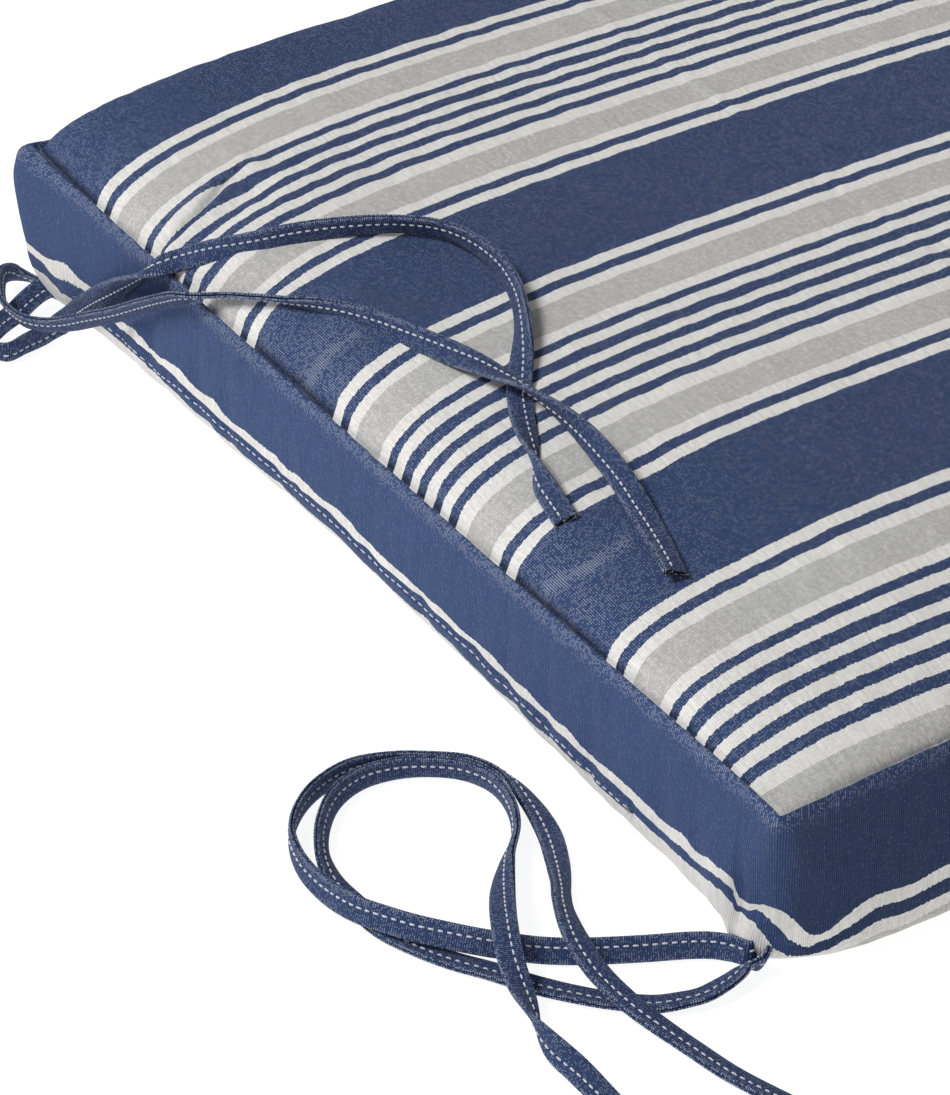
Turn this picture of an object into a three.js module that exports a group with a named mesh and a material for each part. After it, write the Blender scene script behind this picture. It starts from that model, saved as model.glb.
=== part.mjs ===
// A boxed-edge seat cushion for a slatted garden chair, lying on its back on a flat surface,
// with a closed zip along its tied edge and two pairs of flat cloth ties at that edge's corners.
// Millimetres, +Z up. Width along X, depth along Y, the tied edge towards -Y.
import * as THREE from 'three';

// Driving dimensions of the filled cushion
const WIDTH = 510; // seam to seam at the corners, along X
const DEPTH = 485; // seam to seam at the corners, along Y
const MIDDLE_Y = 2.5; // the tied edge bulges more, so the seams lie this far towards +Y
const SEAM_HEIGHT = 75; // top seam above the surface
const CROWN = 29.4; // rise of the top panel inside its seams
const DOME = 10.8; // further slow rise towards the middle
const SHOULDER = 25; // extra fullness just inside the left seam
const CROWN_REACH = { right: 48.5, left: 52.3, back: 31.5, front: 31.5 }; // how fast the crown rises
const SIDE_DRAW = { right: 10, left: 8.5, back: -2, front: 8 }; // how far mid-side seams pull in
const CORNER_INSET = 3; // a sewn corner stops short of the square one

// The boxing strip from the top seam down to the bottom one: outward bulge and height
const BOXING = [
  { out: 0, z: SEAM_HEIGHT },
  { out: 2.6, z: 66 },
  { out: 3.8, z: 52 },
  { out: 3.8, z: 38 },
  { out: 3, z: 25 },
  { out: 1, z: 14 },
  { out: -4, z: 6 },
  { out: -12, z: 0.9 },
];
const BOTTOM_INSET = 12; // the bottom seam lies this far inside the top one

// Soft ridges and dents of the top panel, each along a line from its start to its end
const FOLDS = [
  { name: 'pinched crease', x0: -158, y0: -240, x1: -166, y1: -196, height: 3, width: 6 },
  { name: 'dent beside the crease', x0: -144, y0: -242, x1: -150, y1: -205, height: -3, width: 9 },
  { name: 'ridge in the second wide stripe', x0: -50, y0: -242, x1: -57, y1: -212, height: 2, width: 8 },
  { name: 'ridge next to it', x0: -76, y0: -241, x1: -83, y1: -228, height: 2, width: 7 },
  { name: 'ridge in the third wide stripe', x0: 106, y0: -242, x1: 99, y1: -224, height: 2, width: 8 },
];

// Upright puckers of the boxing along the tied edge, where the cloth is gathered to the zip
const PUCKERS = [
  { x: -214, depth: 1.5, width: 9 },
  { x: -158, depth: 2.5, width: 14 },
  { x: -122, depth: 2, width: 10 },
  { x: 60, depth: 1, width: 20 },
  { x: 188, depth: 1.2, width: 9 },
  { x: 232, depth: 2, width: 8 },
];

// Mesh spacing: close to the seams, wide in the middle
const EDGE_STEPS = [0, 6, 13, 22, 33, 46, 62];
const MIDDLE_STEP = 17;

// The zip's fold: a narrow strip of the boxing that covers the zip
const ZIP = { from: -212, to: 178, heights: [22.5, 25, 28], thickness: 1.2, gap: 0.55 };

// Ties: flat folded strips of the cushion's cloth
const TIE = { width: 9.5, thickness: 2.4, bevel: 0.7, steps: 26 };

// Routes of the ties, from the corner seam to the raw end. The tie's folded-edge side leans
// from straight up (0) towards the right of the way along (90) or the left (-90), in degrees.
const TIE_ROUTES = {
  tie_left_upper: [
    [-252.5, -239.2, 9.4, -130],
    [-251.5, -246, 7.6, -126],
    [-249, -255, 4.4, -110],
    [-245.5, -264.5, 3.6, -110],
    [-238, -274, 4.4, -130],
    [-230, -276.5, 5.2, -156],
    [-223.5, -272.5, 5.6, -172],
    [-225.5, -262.5, 5.6, -180],
    [-227, -254, 5.6, -180],
    [-226.5, -247, 8.4, -180],
    [-208, -248, 26, -176],
    [-188, -250, 43.4, -165],
    [-172.5, -249.5, 56.8, -134],
    [-159.5, -249.5, 67.6, -104],
    [-147, -248, 77.6, -78],
    [-143, -240, 80.8, -54],
    [-131.5, -232, 88.4, -36],
    [-119, -221.5, 95.2, -16],
    [-106.5, -207, 102.2, 4],
    [-94.5, -192, 106.8, 12],
    [-82, -177.5, 109.8, 20],
    [-69, -167.5, 111.4, 20],
    [-53.5, -163, 112, 8],
    [-34.5, -163, 111.8, -8],
    [-16, -168, 110.8, -18],
    [0.5, -176.5, 108.8, -30],
    [14.5, -186, 105.2, -66],
    [28, -196, 102, -86],
    [43, -204.5, 100.4, -100],
    [56.5, -211, 100.2, -128],
    [66.5, -215, 99.2, -165],
    [75.5, -218, 97.6, -205],
    [85, -219.5, 95.4, -235],
    [97.5, -222, 94.4, -250],
  ],
  tie_left_lower: [
    [-254, -234.5, 5.8, -25],
    [-261.5, -235, 5.8, -40],
    [-268.5, -237.5, 6, -40],
    [-272, -242.5, 7.4, -25],
    [-268.5, -249.2, 10.2, 8],
    [-245.9, -261.4, 13.2, 22],
    [-234.8, -262.8, 14.4, 29],
    [-223.5, -263.5, 17.2, 32],
    [-213, -261, 20.4, 35],
    [-202.5, -257.5, 25.2, 38],
    [-187.5, -255, 34.6, 41],
    [-170, -252.5, 45.8, 44],
    [-154, -250.5, 57, 46],
    [-135.5, -250, 69.8, 49],
    [-118, -249, 81, 55],
    [-110.5, -241, 83, 62],
    [-95.5, -235, 88.4, 62],
    [-78, -229, 93.8, 52],
    [-60.5, -222, 97.8, 20],
    [-43.5, -215, 99.6, -5],
    [-24.5, -209.5, 101.2, -24],
    [-5, -204.5, 103, -48],
    [10.5, -201.5, 104.8, -80],
    [24.5, -200, 106.6, -106],
    [37.5, -198, 107.8, -136],
    [50, -195.5, 106.8, -162],
    [63, -194.5, 105.8, -186],
    [77.5, -195.5, 105, -212],
    [94, -197, 102.8, -240],
    [113.5, -200.5, 99.6, -262],
    [131.5, -205, 98.2, -278],
    [147.5, -210, 97.4, -292],
  ],
  tie_right_outer: [
    [242, -239.9, 5.6, 14],
    [237.5, -242.5, 5.4, 28],
    [231.5, -247.5, 5, 42],
    [227.2, -254.5, 5, 46],
    [221.6, -267, 5.2, 40],
    [215.4, -279.5, 5.2, 37],
    [209.4, -290.5, 5.2, 36],
    [202.8, -300.5, 5.4, 36],
    [195.9, -312.1, 7.7, 35],
    [189.8, -320.4, 9.2, 33],
    [183.2, -326.3, 9.4, 31],
    [174.6, -333.4, 9.5, 29],
    [165.2, -339.7, 9.6, 27],
    [154.3, -344.8, 8.8, 24],
    [137.6, -346.7, 6.4, 18],
    [121, -346, 6, 8],
    [104.2, -339.7, 5.6, 0],
    [92.7, -328.9, 5.6, 0],
    [85.9, -316.9, 5.6, 0],
    [83, -302, 5.6, 0],
    [87, -287.5, 5.6, 0],
    [94, -275, 5.6, 6],
    [102.5, -263.5, 5.6, 16],
    [115, -256, 5.4, 42],
    [131.2, -255.8, 3.6, 68],
    [147.3, -259.1, 2.6, 84],
    [163.5, -266.4, 3.6, 72],
    [180.3, -276.4, 7, 44],
    [193, -283.9, 10.6, 52],
    [212.7, -291.7, 12.8, 80],
    [227.4, -293.5, 10.6, 83],
    [242, -292.3, 8.6, 83],
    [250, -291, 7.6, 82],
    [257.5, -288.5, 6, 80],
    [270.5, -284, 3.6, 76],
    [287.5, -280, 3, 76],
    [304, -274.5, 3, 76],
    [317, -269.5, 3, 76],
  ],
  tie_right_inner: [
    [248.2, -240.4, 6, -24],
    [247.2, -245.8, 5.6, -50],
    [248.6, -251.4, 5, -62],
    [249.6, -258.2, 4.4, -70],
    [249.8, -265.2, 3.8, -74],
    [247.8, -272.2, 3.2, -79],
    [244.1, -280.9, 2.6, -84],
    [234.5, -292.5, 2.4, -83],
    [225.5, -301, 2.4, -83],
    [213.8, -310.2, 2.4, -85],
    [200.9, -318.3, 2.4, -85],
    [188.8, -326.8, 2.4, -83],
    [175, -333.5, 2.2, -85],
    [161.5, -338, 2.2, -86],
    [145, -339, 2.6, -82],
    [130.1, -338.9, 4.2, -56],
    [116, -334.3, 5.4, -28],
    [104, -326, 5.6, -20],
    [94, -314.5, 5.6, -16],
    [89.5, -301, 5.6, -8],
    [91, -288, 5.6, 0],
    [96.5, -276.5, 5.6, 6],
    [105, -267, 5.6, 6],
    [116, -262.5, 5.6, 4],
    [129.5, -264, 5.6, 0],
    [143, -270.5, 5.6, -8],
    [157.2, -284.1, 6.8, -30],
    [175.2, -297.8, 10.8, -66],
    [195.4, -310.5, 15.6, -86],
    [208.2, -316.5, 12.8, -92],
    [220, -320, 9.2, -104],
    [230, -323, 8.2, -136],
    [238, -324.5, 6.6, -168],
    [248.5, -325, 5.4, -206],
    [261.5, -323.5, 3.8, -246],
    [279, -323, 2.8, -264],
    [297, -322, 2.6, -266],
    [313.5, -321.5, 2.6, -266],
  ],
};

const fabric = (color) => new THREE.MeshStandardMaterial({ color, roughness: 0.9, metalness: 0 });
const stripedCloth = fabric(0x44567f);
const navyCloth = fabric(0x35436b);

function rise(distance, reach) {
  return 1 - Math.exp(-Math.max(distance, 0) / reach);
}

// Seam line of the top panel: u and v run from -1 to 1 across the width and the depth
function seamPlan(u, v) {
  const sideX = u > 0 ? SIDE_DRAW.right : SIDE_DRAW.left;
  const sideY = v > 0 ? SIDE_DRAW.front : SIDE_DRAW.back;
  const corner = CORNER_INSET * Math.abs(u * v) ** 24;
  const x = (WIDTH / 2) * u - sideX * u * Math.abs(u) * (1 - v * v) - corner * Math.sign(u);
  const y = MIDDLE_Y + (DEPTH / 2) * v - sideY * v * Math.abs(v) * (1 - u * u) - corner * Math.sign(v);
  return { x, y };
}

function foldHeight(x, y) {
  let height = 0;
  for (const fold of FOLDS) {
    const dx = fold.x1 - fold.x0;
    const dy = fold.y1 - fold.y0;
    const along = ((x - fold.x0) * dx + (y - fold.y0) * dy) / (dx * dx + dy * dy);
    const nearest = Math.min(Math.max(along, 0), 1);
    const away = Math.hypot(x - fold.x0 - nearest * dx, y - fold.y0 - nearest * dy);
    height += fold.height * Math.exp(-((away / fold.width) ** 2));
  }
  return height;
}

function topHeight(u, v, x, y) {
  const right = seamPlan(1, v).x - x;
  const left = x - seamPlan(-1, v).x;
  const back = y - seamPlan(u, -1).y;
  const front = seamPlan(u, 1).y - y;
  const sides = rise(right, CROWN_REACH.right) * rise(left, CROWN_REACH.left);
  const ends = rise(back, CROWN_REACH.back) * rise(front, CROWN_REACH.front);
  const inward = Math.min(Math.max(back / DEPTH, 0), 1);
  const dome = (1 - u * u) * inward * (2 - inward) * rise(front, 60);
  const shoulder = Math.exp(-left / 60) * rise(left, 7) * rise(back, 50) * rise(front, 50);
  const inside = Math.min(rise(back, 8), rise(front, 8), rise(right, 8), rise(left, 8));
  const folds = foldHeight(x, y) * inside;
  return SEAM_HEIGHT + CROWN * sides * ends + DOME * dome + SHOULDER * shoulder + folds;
}

function spacing(length) {
  const middle = length - 2 * EDGE_STEPS.at(-1);
  const count = Math.round(middle / MIDDLE_STEP);
  const distances = [...EDGE_STEPS];
  for (let i = 1; i < count; i += 1) {
    distances.push(EDGE_STEPS.at(-1) + (middle * i) / count);
  }
  for (const step of [...EDGE_STEPS].reverse()) {
    distances.push(length - step);
  }
  return distances.map((distance) => (2 * distance) / length - 1);
}

function puckerDepth(x, z) {
  const level = Math.sin((Math.PI * z) / SEAM_HEIGHT);
  let depth = 0;
  for (const pucker of PUCKERS) {
    depth += pucker.depth * Math.exp(-(((x - pucker.x) / pucker.width) ** 2));
  }
  return depth * level;
}

// One point of the boxing, outside the seam point at u, v on the panel's rim
function boxingPoint(u, v, row) {
  const { out, z } = BOXING[row];
  const { x, y } = seamPlan(u, v);
  const atSide = Math.abs(u) === 1;
  const atEnd = Math.abs(v) === 1;
  const pucker = v === -1 ? puckerDepth(x, z) : 0;
  return [
    x + (atSide ? Math.sign(u) * out : 0),
    y + (atEnd ? Math.sign(v) * (out - pucker) : 0),
    z,
  ];
}

function bottomPoint(u, v) {
  const { x, y } = seamPlan(u, v);
  const rim = Math.abs(u) === 1 || Math.abs(v) === 1;
  const scaleX = 1 - BOTTOM_INSET / (WIDTH / 2);
  const scaleY = 1 - BOTTOM_INSET / (DEPTH / 2);
  return [x * scaleX, MIDDLE_Y + (y - MIDDLE_Y) * scaleY, rim ? BOXING.at(-1).z : 0];
}

function cushionGeometry() {
  const us = spacing(WIDTH);
  const vs = spacing(DEPTH);
  const columns = us.length;
  const rows = vs.length;
  const positions = [];
  const indices = [];
  const add = (point) => positions.push(...point) / 3 - 1;
  const quad = (a, b, c, d) => indices.push(a, b, c, a, c, d);

  const top = vs.map((v) => us.map((u) => {
    const { x, y } = seamPlan(u, v);
    return add([x, y, topHeight(u, v, x, y)]);
  }));
  const bottom = vs.map((v) => us.map((u) => add(bottomPoint(u, v))));
  for (let j = 0; j + 1 < rows; j += 1) {
    for (let i = 0; i + 1 < columns; i += 1) {
      quad(top[j][i], top[j][i + 1], top[j + 1][i + 1], top[j + 1][i]);
      quad(bottom[j][i], bottom[j + 1][i], bottom[j + 1][i + 1], bottom[j][i + 1]);
    }
  }

  // The rim, counter-clockwise seen from above
  const rim = [];
  for (let i = 0; i + 1 < columns; i += 1) rim.push([i, 0]);
  for (let j = 0; j + 1 < rows; j += 1) rim.push([columns - 1, j]);
  for (let i = columns - 1; i > 0; i -= 1) rim.push([i, rows - 1]);
  for (let j = rows - 1; j > 0; j -= 1) rim.push([0, j]);
  const bands = BOXING.map((_, row) => rim.map(([i, j]) => {
    if (row === 0) return top[j][i];
    if (row === BOXING.length - 1) return bottom[j][i];
    return add(boxingPoint(us[i], vs[j], row));
  }));
  for (let row = 0; row + 1 < bands.length; row += 1) {
    for (let k = 0; k < rim.length; k += 1) {
      const next = (k + 1) % rim.length;
      quad(bands[row + 1][k], bands[row + 1][next], bands[row][next], bands[row][k]);
    }
  }

  const geometry = new THREE.BufferGeometry();
  geometry.setAttribute('position', new THREE.Float32BufferAttribute(positions, 3));
  geometry.setIndex(indices);
  geometry.computeVertexNormals();
  return geometry;
}

// Outer face of the boxing on the tied edge, at a place along the width and a height
function backFace(x, z) {
  const u = x / (WIDTH / 2);
  let row = 1;
  while (BOXING[row].z > z) row += 1;
  const above = BOXING[row - 1];
  const below = BOXING[row];
  const share = (above.z - z) / (above.z - below.z);
  const out = above.out + (below.out - above.out) * share;
  return seamPlan(u, -1).y - out + puckerDepth(x, z);
}

// A flat strip that follows the boxing, held just off it
function zipGeometry() {
  const places = spacing(WIDTH)
    .map((u) => seamPlan(u, -1).x)
    .filter((x) => x > ZIP.from && x < ZIP.to);
  const inner = ZIP.heights.map((z) => ({ z, off: ZIP.gap }));
  const outer = ZIP.heights.map((z) => ({ z, off: ZIP.gap + ZIP.thickness })).reverse();
  const section = [...inner, ...outer];
  const sides = section.length;
  const positions = [];
  const indices = [];
  for (const x of places) {
    for (const { z, off } of section) positions.push(x, backFace(x, z) - off, z);
  }
  for (let i = 0; i + 1 < places.length; i += 1) {
    for (let k = 0; k < sides; k += 1) {
      const a = i * sides + k;
      const b = i * sides + ((k + 1) % sides);
      indices.push(a, b + sides, a + sides, a, b, b + sides);
    }
  }
  const last = (places.length - 1) * sides;
  for (const [a, b, c] of [[0, 1, 4], [0, 4, 5], [1, 2, 3], [1, 3, 4]]) {
    indices.push(a, c, b, last + a, last + b, last + c);
  }
  const geometry = new THREE.BufferGeometry();
  geometry.setAttribute('position', new THREE.Float32BufferAttribute(positions, 3));
  geometry.setIndex(indices);
  geometry.computeVertexNormals();
  return geometry;
}

// A smooth curve through a tie's points, with the section turned by the table's lean
class TieCurve extends THREE.CatmullRomCurve3 {
  constructor(route) {
    super(route.map(([x, y, z]) => new THREE.Vector3(x, y, z)), false, 'centripetal');
    this.leans = route.map(([, , , lean]) => THREE.MathUtils.degToRad(lean));
  }

  leanAt(u) {
    const place = this.getUtoTmapping(u) * (this.leans.length - 1);
    const before = Math.min(Math.floor(place), this.leans.length - 2);
    return THREE.MathUtils.lerp(this.leans[before], this.leans[before + 1], place - before);
  }

  computeFrenetFrames(segments) {
    const tangents = [];
    const normals = [];
    const binormals = [];
    const up = new THREE.Vector3(0, 0, 1);
    for (let i = 0; i <= segments; i += 1) {
      const tangent = this.getTangentAt(i / segments);
      const right = tangent.clone().cross(up).normalize();
      const level = right.clone().cross(tangent).normalize();
      const lean = this.leanAt(i / segments);
      const normal = level.multiplyScalar(Math.cos(lean)).addScaledVector(right, Math.sin(lean));
      tangents.push(tangent);
      normals.push(normal);
      binormals.push(tangent.clone().cross(normal));
    }
    return { tangents, normals, binormals };
  }
}

function tieSection() {
  const halfWidth = TIE.width / 2;
  const halfThick = TIE.thickness / 2;
  const { bevel } = TIE;
  const shape = new THREE.Shape();
  shape.moveTo(halfWidth, halfThick - bevel);
  shape.lineTo(halfWidth - bevel, halfThick);
  shape.lineTo(bevel - halfWidth, halfThick);
  shape.lineTo(-halfWidth, halfThick - bevel);
  shape.lineTo(-halfWidth, bevel - halfThick);
  shape.lineTo(bevel - halfWidth, -halfThick);
  shape.lineTo(halfWidth - bevel, -halfThick);
  shape.lineTo(halfWidth, bevel - halfThick);
  shape.closePath();
  return shape;
}

function addMesh(group, name, geometry, material) {
  const mesh = new THREE.Mesh(geometry, material);
  mesh.name = name;
  group.add(mesh);
}

const part = new THREE.Group();
addMesh(part, 'cushion', cushionGeometry(), stripedCloth);
addMesh(part, 'zip_fold', zipGeometry(), navyCloth);
for (const [name, route] of Object.entries(TIE_ROUTES)) {
  const extrudePath = new TieCurve(route);
  const geometry = new THREE.ExtrudeGeometry(tieSection(), { steps: TIE.steps, extrudePath });
  addMesh(part, name, geometry, navyCloth);
}

export default part;
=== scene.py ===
import math

import bpy
import numpy as np
from mathutils import Matrix, Vector


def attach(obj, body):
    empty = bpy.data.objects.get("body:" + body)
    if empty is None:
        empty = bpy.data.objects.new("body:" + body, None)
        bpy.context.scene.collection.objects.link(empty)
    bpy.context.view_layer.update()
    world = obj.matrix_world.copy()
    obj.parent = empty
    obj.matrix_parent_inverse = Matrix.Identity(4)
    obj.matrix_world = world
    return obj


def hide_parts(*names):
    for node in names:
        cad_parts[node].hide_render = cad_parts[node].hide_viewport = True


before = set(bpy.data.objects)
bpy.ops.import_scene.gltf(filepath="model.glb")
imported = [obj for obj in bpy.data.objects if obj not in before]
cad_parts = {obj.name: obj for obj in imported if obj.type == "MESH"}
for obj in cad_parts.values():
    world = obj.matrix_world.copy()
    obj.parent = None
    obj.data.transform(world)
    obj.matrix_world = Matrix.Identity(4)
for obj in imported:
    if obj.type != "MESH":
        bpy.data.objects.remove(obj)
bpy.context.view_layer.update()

MM = 0.001

# Camera: place, directions and focal length in pixels of the 950 x 1095 picture
CAMERA_PLACE = (1283.81, -1076.49, 1096.71)
CAMERA_RIGHT = (0.5497, 0.8348, 0.0288)
CAMERA_LOOK = (-0.6768, 0.4653, -0.5705)
FOCAL_PIXELS = 5000.0
PICTURE_WIDTH = 950
SENSOR = 36.0

# The filled cushion
WIDTH = 510.0
DEPTH = 485.0
MIDDLE_Y = 2.5
SEAM_HEIGHT = 75.0
CROWN = 29.4
DOME = 10.8
SHOULDER = 25.0
REACH_RIGHT, REACH_LEFT, REACH_BACK, REACH_FRONT = 48.5, 52.3, 31.5, 31.5
DRAW_RIGHT, DRAW_LEFT, DRAW_BACK, DRAW_FRONT = 10.0, 4.0, -2.0, 8.0
CORNER_INSET = 3.0
CORNER_SHARPNESS = 24  # the higher, the closer to its corner the inset stays
# Along Y, at the corner nearest to the camera and at the other tied one
NEAR_INSET, TIED_LEFT_INSET = -2.0, 2.0

# Woven stripes of one repeat, with their widths
NAVY, WHITE, GREY = "navy", "white", "grey"
STRIPES = [
    (NAVY, 56.2), (WHITE, 5.6), (NAVY, 5.0), (WHITE, 5.4), (GREY, 16.0), (WHITE, 5.1), (NAVY, 4.8),
    (WHITE, 5.5), (NAVY, 5.0), (WHITE, 5.5), (NAVY, 4.8), (WHITE, 5.4), (NAVY, 4.9), (WHITE, 5.3),
    (NAVY, 5.2), (WHITE, 6.5), (GREY, 15.7), (WHITE, 5.4), (NAVY, 5.1), (WHITE, 5.8),
]
REPEAT = sum(width for _, width in STRIPES)
STRIPE_START = 261.5  # the first repeat starts this far to the left of the middle

# Ties: flat folded strips, topstitched near the edge where the folds meet
TIE_STEP = 1.2

# Each row: x, y, z and the lean of the edge where the folds meet, from straight up (0)
# towards the right of the way along (90) or the left (-90), in degrees
TIE_ROUTES = {
    "tie_left_upper": [
        (-252.5, -239.2, 9.4, -130), (-251.5, -246, 7.6, -126), (-249, -255, 4.4, -110),
        (-245.5, -264.5, 3.6, -110), (-238, -274, 4.4, -130), (-230, -276.5, 5.2, -156),
        (-223.5, -272.5, 5.6, -172), (-225.5, -262.5, 5.6, -180), (-227, -254, 5.6, -180),
        (-226.5, -247, 8.4, -180), (-208, -248, 26, -176), (-188, -250, 43.4, -165),
        (-172.5, -249.5, 56.8, -134), (-159.5, -249.5, 67.6, -104), (-147, -248, 77.6, -78),
        (-143, -240, 80.8, -54), (-131.5, -232, 88.4, -36), (-119, -221.5, 95.2, -16),
        (-106.5, -207, 102.2, 4), (-94.5, -192, 106.8, 12), (-82, -177.5, 109.8, 20),
        (-69, -167.5, 111.4, 20), (-53.5, -163, 112, 8), (-34.5, -163, 111.8, -8),
        (-16, -168, 110.8, -18), (0.5, -176.5, 108.8, -30), (14.5, -186, 105.2, -66),
        (28, -196, 102, -86), (43, -204.5, 100.4, -100), (56.5, -211, 100.2, -128),
        (66.5, -215, 99.2, -165), (75.5, -218, 97.6, -205), (85, -219.5, 95.4, -235),
        (97.5, -222, 94.4, -250),
    ],
    "tie_left_lower": [
        (-254, -234.5, 5.8, -25), (-261.5, -235, 5.8, -40), (-268.5, -237.5, 6, -40),
        (-272, -242.5, 7.4, -25), (-268.5, -249.2, 10.2, 8), (-245.9, -261.4, 13.2, 22),
        (-234.8, -262.8, 14.4, 29), (-223.5, -263.5, 17.2, 32), (-213, -261, 20.4, 35),
        (-202.5, -257.5, 25.2, 38), (-187.5, -255, 34.6, 41), (-170, -252.5, 45.8, 44),
        (-154, -250.5, 57, 46), (-135.5, -250, 69.8, 49), (-118, -249, 81, 55),
        (-110.5, -241, 83, 62), (-95.5, -235, 88.4, 62), (-78, -229, 93.8, 52),
        (-60.5, -222, 97.8, 20), (-43.5, -215, 99.6, -5), (-24.5, -209.5, 101.2, -24),
        (-5, -204.5, 103, -48), (10.5, -201.5, 104.8, -80), (24.5, -200, 106.6, -106),
        (37.5, -198, 107.8, -136), (50, -195.5, 106.8, -162), (63, -194.5, 105.8, -186),
        (77.5, -195.5, 105, -212), (94, -197, 102.8, -240), (113.5, -200.5, 99.6, -262),
        (131.5, -205, 98.2, -278), (147.5, -210, 97.4, -292),
    ],
    "tie_right_outer": [
        (242, -239.9, 5.6, 14), (237.5, -242.5, 5.4, 28), (231.5, -247.5, 5, 42),
        (227.2, -254.5, 5, 46), (221.6, -267, 5.2, 40), (215.4, -279.5, 5.2, 37),
        (209.4, -290.5, 5.2, 36), (202.8, -300.5, 5.4, 36), (195.9, -312.1, 7.7, 35),
        (189.8, -320.4, 9.2, 33), (183.2, -326.3, 9.4, 31), (174.6, -333.4, 9.5, 29),
        (165.2, -339.7, 9.6, 27), (154.3, -344.8, 8.8, 24), (137.6, -346.7, 6.4, 18),
        (121, -346, 6, 8), (104.2, -339.7, 5.6, 0), (92.7, -328.9, 5.6, 0),
        (85.9, -316.9, 5.6, 0), (83, -302, 5.6, 0), (87, -287.5, 5.6, 0),
        (94, -275, 5.6, 6), (102.5, -263.5, 5.6, 16), (115, -256, 5.4, 42),
        (131.2, -255.8, 3.6, 68), (147.3, -259.1, 2.6, 84), (163.5, -266.4, 3.6, 72),
        (180.3, -276.4, 7, 44), (193, -283.9, 10.6, 52), (212.7, -291.7, 12.8, 80),
        (227.4, -293.5, 10.6, 83), (242, -292.3, 8.6, 83), (250, -291, 7.6, 82),
        (257.5, -288.5, 6, 80), (270.5, -284, 3.6, 76), (287.5, -280, 3, 76),
        (304, -274.5, 3, 76), (317, -269.5, 3, 76),
    ],
    "tie_right_inner": [
        (248.2, -240.4, 6, -24), (247.2, -245.8, 5.6, -50), (248.6, -251.4, 5, -62),
        (249.6, -258.2, 4.4, -70), (249.8, -265.2, 3.8, -74), (247.8, -272.2, 3.2, -79),
        (244.1, -280.9, 2.6, -84), (234.5, -292.5, 2.4, -83), (225.5, -301, 2.4, -83),
        (213.8, -310.2, 2.4, -85), (200.9, -318.3, 2.4, -85), (188.8, -326.8, 2.4, -83),
        (175, -333.5, 2.2, -85), (161.5, -338, 2.2, -86), (145, -339, 2.6, -82),
        (130.1, -338.9, 4.2, -56), (116, -334.3, 5.4, -28), (104, -326, 5.6, -20),
        (94, -314.5, 5.6, -16), (89.5, -301, 5.6, -8), (91, -288, 5.6, 0),
        (96.5, -276.5, 5.6, 6), (105, -267, 5.6, 6), (116, -262.5, 5.6, 4),
        (129.5, -264, 5.6, 0), (143, -270.5, 5.6, -8), (157.2, -284.1, 6.8, -30),
        (175.2, -297.8, 10.8, -66), (195.4, -310.5, 15.6, -86), (208.2, -316.5, 12.8, -92),
        (220, -320, 9.2, -104), (230, -323, 8.2, -136), (238, -324.5, 6.6, -168),
        (248.5, -325, 5.4, -206), (261.5, -323.5, 3.8, -246), (279, -323, 2.8, -264),
        (297, -322, 2.6, -266), (313.5, -321.5, 2.6, -266),
    ],
}


def make_camera():
    look = Vector(CAMERA_LOOK).normalized()
    right = Vector(CAMERA_RIGHT)
    right = (right - look * right.dot(look)).normalized()
    up = right.cross(look)
    data = bpy.data.cameras.new("camera")
    data.sensor_fit = "HORIZONTAL"
    data.sensor_width = SENSOR
    data.lens = SENSOR * FOCAL_PIXELS / PICTURE_WIDTH
    camera = bpy.data.objects.new("camera", data)
    bpy.context.collection.objects.link(camera)
    turn = Matrix((right, up, -look)).transposed().to_4x4()
    camera.matrix_world = Matrix.Translation(Vector(CAMERA_PLACE) * MM) @ turn
    bpy.context.scene.camera = camera


def make_object(name, points, faces, material, smooth=True):
    """A mesh object from points in millimetres."""
    mesh = bpy.data.meshes.new(name)
    mesh.from_pydata((np.asarray(points, float) * MM).tolist(), [], faces)
    mesh.validate()
    mesh.polygons.foreach_set("use_smooth", [smooth] * len(mesh.polygons))
    mesh.materials.append(material)
    piece = bpy.data.objects.new(name, mesh)
    bpy.context.collection.objects.link(piece)
    return piece


def values_of(items, name, kind=np.float32, width=1):
    """One property of all vertices, faces or corners of a mesh."""
    values = np.empty(len(items) * width, kind)
    items.foreach_get(name, values)
    return values if width == 1 else values.reshape(-1, width)


def set_corner_uv(mesh, across, along):
    """Cloth coordinates in millimetres at each corner of each face, kept in metres."""
    layer = mesh.uv_layers.new(name="cloth")
    layer.data.foreach_set("uv", (np.stack([across, along], axis=1) * MM).ravel())


def set_uv(piece, across, along):
    """Cloth coordinates in millimetres at each vertex."""
    corners = values_of(piece.data.loops, "vertex_index", np.int32)
    set_corner_uv(piece.data, np.asarray(across)[corners], np.asarray(along)[corners])


def set_values(piece, name, values):
    """A number at each vertex, such as how strongly the cloth's light threads show."""
    layer = piece.data.attributes.new(name, "FLOAT", "POINT")
    layer.data.foreach_set("value", np.asarray(values, np.float32))


def tube_faces(first, rings, sides):
    """Faces of a closed tube whose rings of points are numbered from first on."""
    faces = []
    for ring in range(first, first + (rings - 1) * sides, sides):
        for i in range(sides):
            a, c = ring + i, ring + (i + 1) % sides
            faces.append((a, c, c + sides, a + sides))
    faces.append(tuple(first + i for i in reversed(range(sides))))
    faces.append(tuple(first + (rings - 1) * sides + i for i in range(sides)))
    return faces


def dress(pieces, node):
    """The pieces ride on the part's one body and take a CAD node's place."""
    for piece in pieces:
        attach(piece, "root")
        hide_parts(node)


# Materials
RIB = 0.84  # distance between the ribs of the weave, along the stripes
FLOAT = 0.72  # length of one light thread of the navy weave
EDGE_JITTER = 0.5  # how far the ribs carry a stripe's edge to and fro
RIB_HEIGHT = 0.16
BUMP = 0.8
CLOTH_SHADER = {"Specular IOR Level": 0.15, "Sheen Weight": 0.05, "Sheen Roughness": 0.5}
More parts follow.
